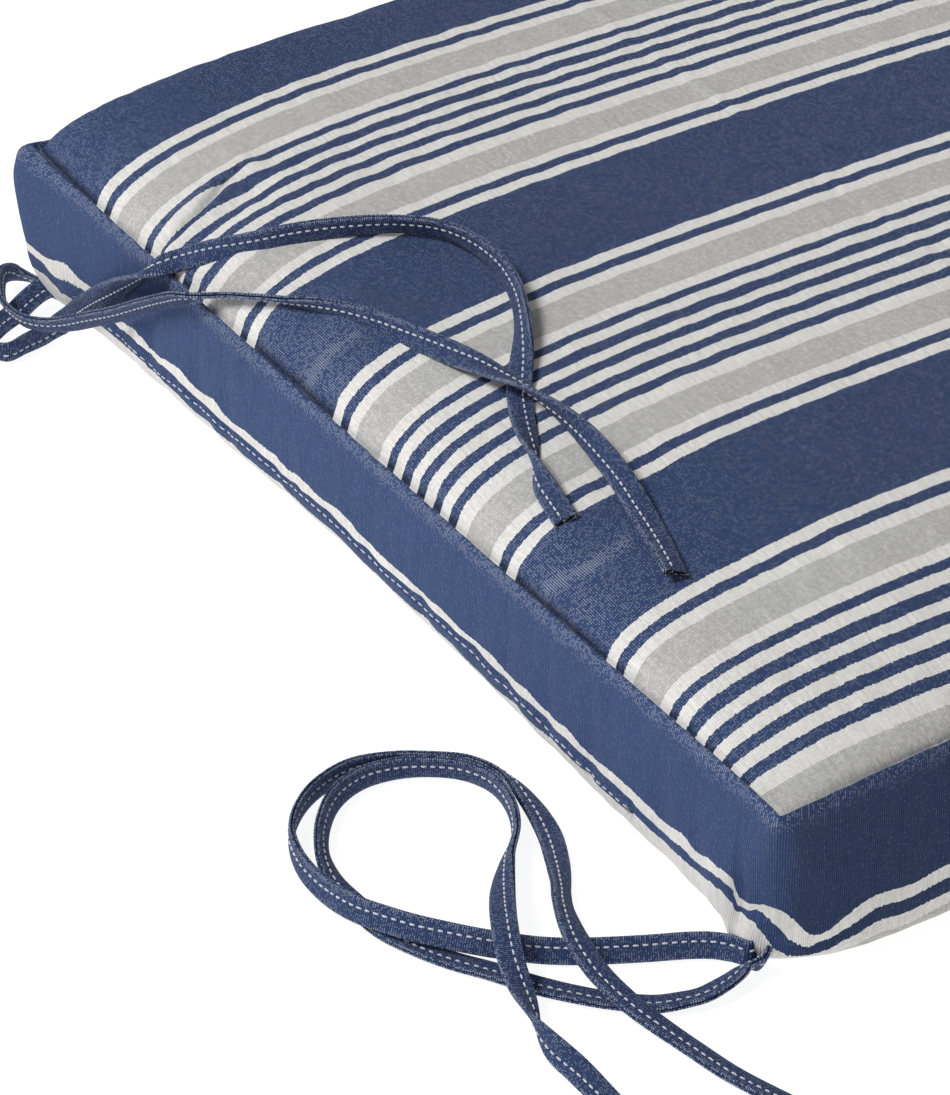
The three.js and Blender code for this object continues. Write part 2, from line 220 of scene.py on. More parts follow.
# Uneven brightness: stretch along the ribs, size, detail and amount of each noise
CLOUDS = [(1.0, 38.0, 3.0, 0.1), (0.12, 1.3, 1.0, 0.28), (1.0, 1.6, 2.0, 0.3)]
# Navy thread in the groove and on the rib, shaded for the darkest painted tone and lit for the
# lightest, and flecks; the groove is darker as painted shade
NAVY_SHADED = ((0.010, 0.016, 0.042), (0.030, 0.051, 0.125))
NAVY_LIT = ((0.018, 0.032, 0.085), (0.050, 0.088, 0.215))
NAVY_FLECK = (0.27, 0.31, 0.41)
# Painted shade: the near-black navy in the crevice beside the seam
NAVY_CREVICE_SHADE = (0.006, 0.009, 0.02)
# Share of threads without a fleck, and how much less where flecks are strong; their amount, and
# how much more there
FEWEST_FLECKS, MORE_FLECKS = 0.8, 0.55
LEAST_AMOUNT, MORE_AMOUNT = 0.16, 0.7
# White and grey threads painted darker in the grooves between the ribs, as shade
WHITE_GROOVE_SHADE, WHITE_RIB = (0.67, 0.655, 0.62), (0.79, 0.78, 0.755)
GREY_GROOVE_SHADE, GREY_RIB, GREY_LIGHT = (0.33, 0.325, 0.31), (0.51, 0.505, 0.49), (0.68, 0.67, 0.65)


class Graph:
    """The nodes of one material, with short ways to add and join them."""

    def __init__(self, name):
        self.material = bpy.data.materials.new(name)
        self.material.use_nodes = True
        self.nodes = self.material.node_tree.nodes
        self.links = self.material.node_tree.links
        self.shader = self.nodes["Principled BSDF"]

    def put(self, socket, value):
        if isinstance(value, bpy.types.NodeSocket):
            self.links.new(value, socket)
        else:
            socket.default_value = value

    def math(self, operation, *values):
        node = self.nodes.new("ShaderNodeMath")
        node.operation = operation
        for socket, value in zip(node.inputs, values):
            self.put(socket, value)
        return node.outputs[0]

    def plus(self, first, second):
        return self.math("ADD", first, second)

    def times(self, first, second):
        return self.math("MULTIPLY", first, second)

    def hump(self, place):
        """0 at each whole number and 1 halfway between them."""
        return self.math("SINE", self.times(self.math("FRACT", place), math.pi))

    def spread(self, value, low, high, to_low=0.0, to_high=1.0):
        """Value mapped from one range to another, and kept inside it."""
        node = self.nodes.new("ShaderNodeMapRange")
        node.interpolation_type = "SMOOTHSTEP"
        for socket, item in zip(node.inputs, (value, low, high, to_low, to_high)):
            self.put(socket, item)
        return node.outputs[0]

    def mix(self, share, first, second):
        node = self.nodes.new("ShaderNodeMix")
        node.data_type = "RGBA"
        self.put(node.inputs["Factor"], share)
        for socket, value in ((node.inputs[6], first), (node.inputs[7], second)):
            self.put(socket, value if isinstance(value, bpy.types.NodeSocket) else (*value, 1))
        return node.outputs[2]

    def join(self, x, y):
        node = self.nodes.new("ShaderNodeCombineXYZ")
        self.put(node.inputs[0], x)
        self.put(node.inputs[1], y)
        return node.outputs[0]

    def random(self, x, y=0.0):
        """A value from 0 to 1, different for each pair of whole numbers."""
        node = self.nodes.new("ShaderNodeTexWhiteNoise")
        node.noise_dimensions = "2D"
        self.links.new(self.join(x, y), node.inputs["Vector"])
        return node.outputs["Value"]

    def noise(self, x, y, size, detail):
        node = self.nodes.new("ShaderNodeTexNoise")
        node.noise_dimensions = "2D"
        node.inputs["Scale"].default_value = 1 / size
        node.inputs["Detail"].default_value = detail
        self.links.new(self.join(x, y), node.inputs["Vector"])
        return node.outputs["Fac"]

    def attribute(self, name):
        node = self.nodes.new("ShaderNodeAttribute")
        node.attribute_name = name
        return node.outputs["Fac"]

    def cloth_place(self):
        """Millimetres across the stripes and along them."""
        uv = self.nodes.new("ShaderNodeUVMap")
        uv.uv_map = "cloth"
        split = self.nodes.new("ShaderNodeSeparateXYZ")
        self.links.new(uv.outputs[0], split.inputs[0])
        return [self.times(split.outputs[k], 1 / MM) for k in (0, 1)]

    def weave(self):
        """Ribs that run across the stripes, each with short light threads in brick order."""
        across, along = self.cloth_place()
        place = self.math("DIVIDE", along, RIB)
        rib = self.math("FLOOR", place)
        crown = self.hump(place)
        half = self.times(self.math("MODULO", self.math("ABSOLUTE", rib), 2.0), 0.5)
        wander = self.times(self.random(rib, 7.0), 0.5)
        bricks = self.plus(self.plus(self.math("DIVIDE", across, FLOAT), half), wander)
        brick = self.math("FLOOR", bricks)
        chance = self.random(brick, rib)
        bow = self.spread(self.hump(bricks), 0.25, 0.75)
        shape = self.times(bow, self.spread(crown, 0.35, 0.8))
        return across, along, rib, crown, chance, shape

    def finish(self, color, crown, shape, chance, roughness=0.92):
        fleck = self.times(shape, chance)
        height = self.plus(self.times(crown, 0.8), self.times(fleck, 0.35))
        bump = self.nodes.new("ShaderNodeBump")
        bump.inputs["Strength"].default_value = BUMP
        bump.inputs["Distance"].default_value = RIB_HEIGHT * MM
        self.links.new(height, bump.inputs["Height"])
        self.links.new(bump.outputs[0], self.shader.inputs["Normal"])
        self.links.new(color, self.shader.inputs["Base Color"])
        self.shader.inputs["Roughness"].default_value = roughness
        for name, value in CLOTH_SHADER.items():
            self.shader.inputs[name].default_value = value
        return self.material


def plain_cloth(name, color):
    graph = Graph(name)
    graph.shader.inputs["Base Color"].default_value = (*color, 1)
    graph.shader.inputs["Roughness"].default_value = 0.9
    return graph.material


def navy_color(graph, crown, chance, shape):
    """Dark between the ribs as painted shade, with light flecks on some of them; its tone is painted
    light and shade, and the crevice beside the seam painted shade.
    """
    tone_and_painted_light, strength = graph.attribute("tone_and_painted_light"), graph.attribute("fleck")
    groove, rib = (graph.mix(tone_and_painted_light, shaded, lit) for shaded, lit in zip(NAVY_SHADED, NAVY_LIT))
    color = graph.mix(graph.spread(crown, 0.0, 0.9), groove, rib)
    least = graph.math("SUBTRACT", FEWEST_FLECKS, graph.times(strength, MORE_FLECKS))
    chosen = graph.spread(chance, least, graph.plus(least, 0.2))
    amount = graph.plus(LEAST_AMOUNT, graph.times(strength, MORE_AMOUNT))
    amount = graph.times(graph.times(chosen, shape), amount)
    # Painted shade darkens the navy in the crevice beside the seam
    return graph.mix(graph.attribute("seam_crevice_shade"), graph.mix(amount, color, NAVY_FLECK), NAVY_CREVICE_SHADE)


def cloudy(graph, color, across, along):
    """Slow changes of brightness, slubs along single ribs, and mottling."""
    level = 1 - sum(amount for *_, amount in CLOUDS) / 2
    for stretch, size, detail, amount in CLOUDS:
        noise = graph.noise(graph.times(across, stretch), along, size, detail)
        level = graph.plus(graph.times(noise, amount), level)
    value = graph.nodes.new("ShaderNodeHueSaturation")
    graph.links.new(color, value.inputs["Color"])
    graph.links.new(level, value.inputs["Value"])
    return value.outputs[0]


def striped_material(name):
    """Each stripe's own threads, its edge carried to and fro by the ribs."""
    graph = Graph(name)
    across, along, rib, crown, chance, shape = graph.weave()
    carried = graph.times(graph.math("SUBTRACT", graph.random(rib), 0.5), EDGE_JITTER)
    share = graph.math("FRACT", graph.math("DIVIDE", graph.plus(across, carried), REPEAT))
    ramp = graph.nodes.new("ShaderNodeValToRGB")
    ramp.color_ramp.interpolation = "CONSTANT"
    masks = {NAVY: (1, 0, 0, 1), WHITE: (0, 1, 0, 1), GREY: (0, 0, 1, 1)}
    elements = ramp.color_ramp.elements
    elements.remove(elements[1])
    start = 0.0
    for k, (kind, width) in enumerate(STRIPES):
        element = elements[0] if k == 0 else elements.new(start / REPEAT)
        element.position = start / REPEAT
        element.color = masks[kind]
        start += width
    graph.links.new(share, ramp.inputs[0])
    split = graph.nodes.new("ShaderNodeSeparateColor")
    graph.links.new(ramp.outputs[0], split.inputs[0])
    is_white, is_grey = split.outputs[1], split.outputs[2]

    navy = navy_color(graph, crown, chance, shape)
    # Painted shade in the weave's grooves
    white = graph.mix(graph.spread(crown, 0.0, 0.7), WHITE_GROOVE_SHADE, WHITE_RIB)
    grey = graph.mix(graph.spread(crown, 0.0, 0.8), GREY_GROOVE_SHADE, GREY_RIB)
    grey = graph.mix(graph.spread(chance, 0.3, 1.0, 0.0, 0.55), grey, GREY_LIGHT)
    color = graph.mix(is_white, navy, white)
    color = graph.mix(is_grey, color, grey)
    return graph.finish(cloudy(graph, color, across, along), crown, shape, chance)


def navy_material(name):
    """The navy weave alone."""
    graph = Graph(name)
    across, along, rib, crown, chance, shape = graph.weave()
    color = cloudy(graph, navy_color(graph, crown, chance, shape), across, along)
    return graph.finish(color, crown, shape, chance)


def thread_material(name, color):
    """Twisted thread: fine slanting lines along it, painted darker as shade in the twist's grooves."""
    graph = Graph(name)
    around, along = graph.cloth_place()
    turns = graph.plus(graph.math("DIVIDE", along, 0.45), around)
    twist = graph.math("ABSOLUTE", graph.math("SINE", graph.times(turns, math.pi)))
    shaded = tuple(0.6 * c for c in color)
    shade = graph.mix(graph.spread(twist, 0.1, 0.7), shaded, color)
    return graph.finish(shade, twist, twist, 0.5, roughness=0.8)


# Ties
def smooth_route(route):
    """Evenly spaced points, and their leans, on a centripetal Catmull-Rom curve through the route."""
    rows = np.array(route, float)
    points = rows[:, :3]
    ends = np.vstack([2 * points[0] - points[1], points, 2 * points[-1] - points[-2]])
    shares = np.linspace(0, 1, 24, endpoint=False)[:, None]
    curve, leans = [], []
    for i in range(1, len(ends) - 2):
        p0, p1, p2, p3 = ends[i - 1:i + 3]
        d0, d1, d2 = (np.linalg.norm(b - a) ** 0.5 for a, b in ((p0, p1), (p1, p2), (p2, p3)))
        t1 = d1 * ((p1 - p0) / d0 - (p2 - p0) / (d0 + d1) + (p2 - p1) / d1)
        t2 = d1 * ((p2 - p1) / d1 - (p3 - p1) / (d1 + d2) + (p3 - p2) / d2)
        s = shares
        curve.append(p1 + t1 * s + (3 * (p2 - p1) - 2 * t1 - t2) * s ** 2
                     + (2 * (p1 - p2) + t1 + t2) * s ** 3)
        leans.append(rows[i - 1, 3] + (rows[i, 3] - rows[i - 1, 3]) * shares[:, 0])
    curve = np.vstack(curve + [points[-1:]])
    leans = np.concatenate(leans + [rows[-1:, 3]])
    run = np.concatenate([[0], np.cumsum(np.linalg.norm(np.diff(curve, axis=0), axis=1))])
    count = int(round(run[-1] / TIE_STEP))
    even = np.linspace(0, run[-1], count + 1)
    places = np.stack([np.interp(even, run, curve[:, k]) for k in range(3)], axis=1)
    kernel = np.exp(-np.linspace(-2, 2, 13) ** 2)
    kernel /= kernel.sum()
    padded = np.pad(np.interp(even, run, leans), 6, mode="edge")
    return even, places, np.convolve(padded, kernel, mode="valid")


def tie_frames(route):
    """Along each tie: distance, point, direction, and the directions of its width and thickness."""
    even, places, leans = smooth_route(route)
    along = np.gradient(places, axis=0)
    along /= np.linalg.norm(along, axis=1)[:, None]
    right = np.cross(along, (0, 0, 1))
    right /= np.linalg.norm(right, axis=1)[:, None]
    level = np.cross(right, along)
    angle = np.radians(leans)[:, None]
    width = np.cos(angle) * level + np.sin(angle) * right
    return even, places, along, width, np.cross(along, width)


# The part of each tie that the cushion hides, before its route
TIE_ROOTS = {
    "tie_left_upper": (-247, -228, 13, -130), "tie_left_lower": (-244, -229, 9, -25),
    "tie_right_outer": (234.5, -232.3, 3.2, 8), "tie_right_inner": (242.1, -232.2, 3.2, -12),
}
# Half of the tie's section, from the slit between the folds round to the single fold, with
# how strongly the light threads show there
HALF_SECTION = [
    (2.3, 0.0, 0), (3.6, 0.12, 0), (4.35, 0.2, 0.6), (4.68, 0.42, 1.2), (4.75, 0.68, 1.3),
    (4.6, 0.98, 1.3), (4.2, 1.16, 1.1), (3.2, 1.2, 0.6), (1.9, 1.18, 0.45), (1.4, 1.07, 0.2),
    (1.2, 1.0, 0), (1.0, 1.07, 0.2), (0.4, 1.16, 0.45), (-1.5, 1.17, 0.5), (-3.4, 1.08, 0.6),
    (-4.3, 0.85, 1), (-4.68, 0.45, 1.2), (-4.75, 0.0, 1.2),
]
STITCH_LINE = 1.2  # across the tie, from its middle
STITCH_PITCH, STITCH_LENGTH, STITCH_RADIUS = 3.4, 2.3, 0.36
STITCH_START, STITCH_END = 4.0, 2.0  # how far from the tie's two ends
FRAY_LENGTH, FRAY_RADIUS, FRAY_SPREAD, FRAY_SHARE = 3.2, 0.16, 0.33, 0.85
TIE_TONE = 0.36
END_DEPTH = 5.0  # how far one can look into the open end
END_WIDE, END_THICK = 0.93, 0.62  # the opening's share of the section


def tie_mesh(name, route, cloth, inside):
    even, places, along, width, thick = tie_frames(route)
    section = HALF_SECTION + [(n, -b, f) for n, b, f in reversed(HALF_SECTION[1:-1])]
    sides = len(section)
    n, b, fleck = (np.array(column) for column in zip(*section))
    rings = [places[k] + width[k] * n[:, None] + thick[k] * b[:, None] for k in range(len(places))]
    for back in (0.0, END_DEPTH):
        middle = places[-1] - along[-1] * back
        rings.append(middle + width[-1] * n[:, None] * END_WIDE + thick[-1] * b[:, None] * END_THICK)
    total = len(rings)
    faces = []
    for k in range(total - 1):
        for i in range(sides):
            j = (i + 1) % sides
            faces.append((k * sides + i, (k + 1) * sides + i, (k + 1) * sides + j, k * sides + j))
    faces.append(tuple(range(sides)))
    faces.append(tuple((total - 1) * sides + i for i in reversed(range(sides))))
    piece = make_object(name, np.vstack(rings), faces, cloth)
    piece.data.materials.append(inside)
    # The open end's inner walls and cap take the near-black painted shade
    shaded = (total - 2) * sides
    for k in list(range(shaded, shaded + sides)) + [len(faces) - 1]:
        piece.data.polygons[k].material_index = 1
    run = np.concatenate([even, [even[-1], even[-1] - END_DEPTH]])
    set_uv(piece, np.tile(n + np.where(b < 0, 20, 0), total), np.repeat(run, sides))
    set_values(piece, "fleck", np.tile(fleck, total))
    set_values(piece, "tone_and_painted_light", np.full(total * sides, TIE_TONE))
    return piece, (even, places, along, width, thick)


# One sewn dash: share along it, share of its radius, and how far it sinks in radii
DASH = [(-1.0, 0.35, 1.1), (-0.75, 0.85, 0.35), (-0.3, 1.0, 0.0), (0.3, 1.0, 0.0), (0.75, 0.85, 0.35),
        (1.0, 0.35, 1.1)]
DASH_SIDES = 6
DASH_FLATNESS = 1.15
FIBRE_SIDES, FIBRE_STEPS = 4, 9
FIBRE_CURL, FIBRE_WOBBLE, FIBRE_TAPER = 0.22, 0.1, 0.6
FLOOR_GAP = 0.6  # thread ends stay this far above the floor


def circle(sides):
    """Turns, cosines and sines of points round a circle."""
    turns = np.arange(sides) / sides * 2 * np.pi
    return turns / np.pi, np.cos(turns)[:, None], np.sin(turns)[:, None]


def dashes(name, centres, ways, ups, length, radius, material):
    """Sewn dashes whose ends dip into the cloth."""
    ups = ups - ways * np.sum(ups * ways, axis=1)[:, None]
    ups /= np.linalg.norm(ups, axis=1)[:, None]
    sides = np.cross(ways, ups) * DASH_FLATNESS
    lengths = length * np.random.default_rng(5).uniform(0.88, 1.1, len(centres))
    turns, cosines, sines = circle(DASH_SIDES)
    points, faces, around, along = [], [], [], []
    for k, centre in enumerate(centres):
        for share, thickness, sink in DASH:
            middle = centre + ways[k] * share * lengths[k] / 2 - ups[k] * sink * radius
            points.append(middle + (cosines * ups[k] + sines * sides[k]) * radius * thickness)
            around += list(turns)
            along += [share * lengths[k] / 2] * DASH_SIDES
        faces += tube_faces(k * len(DASH) * DASH_SIDES, len(DASH), DASH_SIDES)
    piece = make_object(name, np.vstack(points), faces, material)
    set_uv(piece, around, along)
    return piece


def fibres(name, roots, way, spread, length, radius, seed, material):
    """Loose thread ends that curl away from roots, on average the given way."""
    chance = np.random.default_rng(seed)
    turns, cosines, sines = circle(FIBRE_SIDES)
    points, faces, around, along = [], [], [], []
    for count, root in enumerate(roots):
        heading = np.asarray(way, float) + chance.normal(0, spread, 3)
        heading /= np.linalg.norm(heading)
        curl = chance.normal(0, FIBRE_CURL, 3)
        reach = length * chance.uniform(0.35, 1.0)
        place = np.array(root, float)
        for step in range(FIBRE_STEPS):
            side = np.cross(heading, (0.3, 0.2, 0.9))
            side /= np.linalg.norm(side)
            thin = radius * (1 - FIBRE_TAPER * step / FIBRE_STEPS)
            points.append(place + thin * (cosines * side + sines * np.cross(heading, side)))
            around += list(turns)
            along += [reach * step / FIBRE_STEPS] * FIBRE_SIDES
            heading = heading + curl + chance.normal(0, FIBRE_WOBBLE, 3)
            heading /= np.linalg.norm(heading)
            place = place + heading * reach / FIBRE_STEPS
            place[2] = max(place[2], FLOOR_GAP)
        faces += tube_faces(count * FIBRE_STEPS * FIBRE_SIDES, FIBRE_STEPS, FIBRE_SIDES)
    piece = make_object(name, np.vstack(points), faces, material)
    set_uv(piece, around, along)
    return piece


def at_distance(strip, distances):
    """The tie's place and directions at distances along it."""
    even = strip[0]
    rows = [np.stack([np.interp(distances, even, part[:, k]) for k in range(3)], axis=1)
            for part in strip[1:]]
    return [rows[0]] + [row / np.linalg.norm(row, axis=1)[:, None] for row in rows[1:]]


def tie_stitches(name, strip, material):
    """A line of thread on both faces."""
    distances = np.arange(STITCH_START, strip[0][-1] - STITCH_END, STITCH_PITCH)
    places, along, width, thick = at_distance(strip, distances)
    centres, ways, ups = [], [], []
    for side in (1, -1):
        centres.append(places + width * STITCH_LINE + thick * side * (1.0 + STITCH_RADIUS * 0.55))
        ways.append(along)
        ups.append(thick * side)
    return dashes(name, np.vstack(centres), np.vstack(ways), np.vstack(ups),
                  STITCH_LENGTH, STITCH_RADIUS, material)


def tie_frays(name, strip, seed, material):
    """Threads round the raw end of a tie."""
    place, along, width, thick = (part[-1] for part in strip[1:])
    chance = np.random.default_rng(seed)
    roots = []
    for n, b, _ in HALF_SECTION[2:]:
        for side in (1, -1):
            if chance.random() < FRAY_SHARE:
                roots.append(place + width * n * 0.97 + thick * side * b * 0.85 - along)
    return fibres(name, roots, along, FRAY_SPREAD, FRAY_LENGTH, FRAY_RADIUS, seed, material)


def make_ties(cloth, inside, thread, fray):
    for count, (name, route) in enumerate(TIE_ROUTES.items()):
        route = [TIE_ROOTS[name]] + route
        piece, strip = tie_mesh(name + "_cloth", route, cloth, inside)
        stitches = tie_stitches(name + "_stitches", strip, thread)
        frays = tie_frays(name + "_frays", strip, 11 + count, fray)
        dress((piece, stitches, frays), name)


# Cushion: the top panel
# Fullness beside the tied seam: place along it, extra height, and how far inward it reaches
FULLNESS = [
    (-255, 3.0, 26), (-205, 3.4, 32), (-165, 3.2, 34), (-140, 4.2, 40), (-90, 5.2, 46),
    (-25, 6.1, 42), (20, 5.4, 37), (50, 5.2, 31), (85, 4.4, 31), (155, 3.9, 23), (195, 3.5, 27),
    (212, 0.6, 38), (228, -0.8, 45), (255, -3.5, 45),
]
RIGHT_FULLNESS, RIGHT_REACH = 3.0, 24.0
LEFT_FULLNESS, LEFT_REACH = 15.0, 17.0

# Soft ridges and dents, each from x, y to x, y with its height and width
FOLDS = [
    (-158, -240, -166, -196, 3, 6),
    (-144, -242, -150, -205, -3, 9),
    (-50, -242, -57, -212, 2, 8),
    (-76, -241, -83, -228, 2, 7),
    (106, -242, 99, -224, 2, 8),
    (92, -192, 94, -188, -1.8, 19),
    (155, -182, 157, -178, -1.3, 24),
    (-112, -243, -118, -226, 1.1, 5),
    (-28, -243, -33, -222, 1.0, 5),
    (-5, -243, -8, -228, 0.9, 5),
    (18, -243, 15, -226, 1.0, 5),
    (42, -243, 40, -228, 0.8, 5),
    (128, -243, 124, -228, 0.9, 5),
    (170, -243, 166, -226, 0.9, 5),
    (-208, -242, -212, -226, 1.0, 6),
]

# The sharp crease: points of its line on the panel, how deep it is cut and how wide, and how
# much cloth lies hidden in it at each point
CREASE = [
    (-156, -243), (-154.5, -233), (-155.5, -224), (-157.5, -217.4), (-160.5, -209), (-163, -202),
    (-164.5, -196.4), (-166, -189),
]
CREASE_HIDDEN = [4.3, 4.3, 4.4, 4.6, 4.4, 4.0, 2.8, 0]
CREASE_COLUMN = -155.5  # the mesh column that follows it
CREASE_DEPTH, CREASE_WIDTH, CREASE_RISE = 2.2, 1.7, 3
CREASE_JUMP, CREASE_PULL = 0.8, 11.0  # how near to it the cloth jumps, and how far it is pulled
CREASE_FADE = 120  # how far the mesh around it gives way
# At the left tied corner the cloth is pulled over, so that the next stripe shows
CORNER_SHIFT, CORNER_SHIFT_REACH = 7.0, 20.0

SEAM_GROOVE, GROOVE_WIDTH = 1.9, 1.4  # the crevice along the seam
# How far from the panel's edges each shape reaches its full height: the dome, the shoulder beside
# the left edge, the folds, and the fullness beside the tied, the left and the right edge
DOME_RISE = 60
SHOULDER_REACH, SHOULDER_RISE, SHOULDER_ENDS = 60, 7, 50
FOLD_RISE = 8
FULL_RISE, FULL_ENDS = 2.8, 3
LEFT_RISE, LEFT_BACK, LEFT_FRONT = 4, 12, 50
RIGHT_RISE, RIGHT_ENDS = 3, 14
CREVICE_SHADE, CREVICE_SHADE_WIDTH = 0.75, 0.75  # painted shade in the seam's crevice: how dark the navy is in it, and how wide
# Ridges where the light threads stand out, partly as a painted highlight: from x, y to x, y, how much
# and how wide
STREAK_FLECKS_AND_HIGHLIGHT = [
    (-45.5, -239.5, -44, -222, 0.8, 2.8),
    (-37, -238, -24, -231, 0.25, 3),
    (112.5, -239, 119.5, -226, 0.9, 2.8),
    (119.5, -226, 118.5, -211, 0.75, 3.2),
    (129, -240, 133, -235, 0.35, 2.5),
    (140, -236, 152, -214, 0.12, 8),
]

# Places of the mesh columns: from each x on, this far apart
COLUMN_STEPS = [
    (-255, 1.2), (-250, 2.2), (-241, 3.2), (-224, 4.2), (-180, 3.0), (-168, 2.0), (-158, 1.0),
    (-156, 0.5), (-155, 1.0), (-153, 2.0), (-143, 3.0), (-134, 4.6),
    (205, 4.0), (222, 2.6), (231, 1.6), (241, 2.2), (249, 1.2), (255, 0),
]
# The same for the rows, from each distance from the tied seam on
ROW_STEPS = [
    (0, 1.1), (3.3, 1.7), (6.7, 2.4), (14, 3.2), (30, 4.4), (52, 6.4), (90, 8.6), (400, 7.6),
    (438, 5.4), (463, 3.6), (474, 2.4), (479, 1.5), (485, 0),
]

# Cushion: the boxing
# Rolled edge beside the seam: how far outside it and height
BOXING_ROLL = [(0.0, 73.7), (0.45, 74.9), (1.2, 75.5), (2.1, 75.3), (2.8, 74.3), (3.1, 72.5)]
FACE_SHARES = [0.09, 0.2, 0.33, 0.47, 0.6, 0.7, 0.79, 0.86, 0.93, 1.0]
UNDER_ANGLES = [11, 22, 33, 44, 56, 68, 79, 90]
ABOVE_FLOOR = 0.5  # height of the last row
# Along the tied edge: place, bulge, height where the boxing starts to roll under, how far
# under it goes before it meets the floor, and the height where it has its full bulge
TIED_ROLL = [
    (-255, 4.0, 26, 20, 40), (-241, 4.0, 28, 24, 40), (-215, 4.1, 30, 28, 40),
    (-190, 4.1, 32, 34, 40), (-120, 4.1, 34, 40, 40), (-60, 4.1, 36, 50, 40),
    (-20, 4.1, 36, 60, 40), (30, 4.1, 36, 48, 40), (75, 4.1, 36, 42, 40), (110, 4.1, 35, 36, 40),
    (156, 4.1, 31, 31, 40), (190, 4.0, 30, 28, 40), (216, 4.0, 28, 25, 40), (228, 4.0, 24, 20, 40),
    (234, 4.0, 16, 11, 40), (240, 2.6, 10, 7, 30), (255, 2.0, 9, 6, 25),
]
# Along the right edge, from the tied end on; the left edge has the same
RIGHT_ROLL = [
    (-240, 2.0, 9, 6, 25), (-224, 2.0, 9, 6, 20), (-211, 4.5, 9, 7, 12), (-198, 7.0, 9, 7, 8),
    (-168, 9.5, 9, 7, 8), (0, 11.0, 12, 10, 10), (205, 9.0, 12, 9, 12), (232, 5.0, 14, 10, 25),
    (245, 4.0, 16, 12, 40),
]
# Corner radius at each height: at three corners, and at the one nearest to the camera
CORNER_BLEND = 44.0
CORNER_RADIUS = [(0, 14), (20, 11), (45, 8), (66, 5), (72.5, 2.5), (76, 1)]
NEAR_RADIUS = [(0, 30), (12, 40), (25, 36), (40, 26), (55, 15), (66, 7), (72.5, 3), (76, 1.2)]
# The corner left of the tied edge is puffed out: height and how far
CORNER_PUFF = [(0, 0.5), (20, 2.0), (45, 4.6), (62, 6.0), (72, 4.6), (75, 1.5), (76, 0.0)]
PUFF_REACH = 22.0

# Heights of the stripes' edges on the boxing, along the tied edge (x) and the right one (y), with
# a row for each crest and dip that the gathers make: lower edge of the wide navy stripe, then the
# upper and the lower edge of the thin one
ELSEWHERE_EDGES = (31.0, 25.5, 19.5)
TIED_WIDE = [
    (-255, 33.5), (-238, 33.5), (-225, 38.5), (-220, 40), (-212, 37.5), (-203, 38.5), (-192, 36),
    (-181.5, 34), (-166, 38.5), (-161, 37), (-157.5, 34), (-141, 37.5), (-132, 39), (-121.5, 35),
    (-106, 39.5), (-98, 35.5), (-82, 38.5), (-56, 39), (-52, 38), (-42, 40.5), (-29, 39.5),
    (-13, 41.5), (8, 38.5), (33, 39), (40, 37.5), (55, 39), (75, 37.5), (89, 39), (97, 36),
    (110, 37.5), (124, 34.5), (137, 36.5), (150, 32.5), (160, 35), (171, 36), (186, 34.5),
    (192, 32), (206, 35.5), (213, 31.5), (224, 36), (232.5, 36), (235, 34), (236.6, 24.5),
    (239, 23.5), (251, 26.5), (255, 26),
]
TIED_THIN = [
    (-255, 29.5), (-240, 30.5), (-232, 28.5), (-217, 33), (-208, 33.5), (-203.5, 35.5),
    (-194, 33.5), (-182, 31), (-166, 33.5), (-155, 31), (-144, 33), (-132, 33), (-121.5, 30.5),
    (-109, 33), (-98, 31), (-86.5, 33.5), (-69, 34), (-52.5, 33.5), (-42.5, 35), (-16, 36),
    (16, 34), (30, 35), (40, 34), (57.5, 35), (88, 34), (95, 32.5), (111, 33), (125.5, 30.5),
    (136, 32), (148, 29.5), (172, 31.5), (186, 29.5), (191.5, 27.5), (206, 30), (213, 27.5),
    (228, 32), (233, 31), (235, 28.5), (236.8, 21), (239.5, 20.5), (247, 23), (252, 21), (255, 18),
]
TIED_LOW = [
    (-255, 21.5), (-237, 24), (-229, 21), (-217, 24.5), (-197, 22.5), (-185, 23.5), (-180.5, 21.5),
    (-166, 25.5), (-157, 22), (-143, 24), (-128, 22), (-119, 19.5), (-108, 22), (-92, 22.5),
    (-80, 23.5), (-47.5, 24.5), (-24, 26), (7, 23.5), (25, 24.5), (45, 23.5), (54, 24), (92, 21.5),
    (135, 22.5), (150, 23), (166, 25.5), (179, 26.5), (191, 23), (204, 25), (213, 23.5), (227, 27),
    (233, 24.5), (237, 18.5), (245, 17.5), (250, 13.5), (255, 8),
]
RIGHT_WIDE = [
    (-242, 26), (-235, 21.5), (-227, 13), (-224, 12), (-220, 14), (-210, 22), (-203, 25),
    (-197, 26), (-186, 24.5), (-168, 27), (-100, 29), (0, 30), (245, 30),
]
RIGHT_THIN = [
    (-242, 18), (-237, 12.5), (-232, 9), (-227, 8), (-219, 11), (-207, 17), (-197, 20.5),
    (-187, 19), (-168, 21.5), (-100, 23.5), (0, 24.5), (245, 24.5),
]
RIGHT_LOW = [
    (-242, 8), (-236, 5), (-230, 4), (-224, 4.5), (-214, 8.5), (-204, 11.5), (-196.5, 14),
    (-188, 12.5), (-168, 14.5), (-100, 17.5), (0, 18.5), (245, 18.5),
]
GATHER_RISE = 5  # how far from the corners the gathers have their full depth
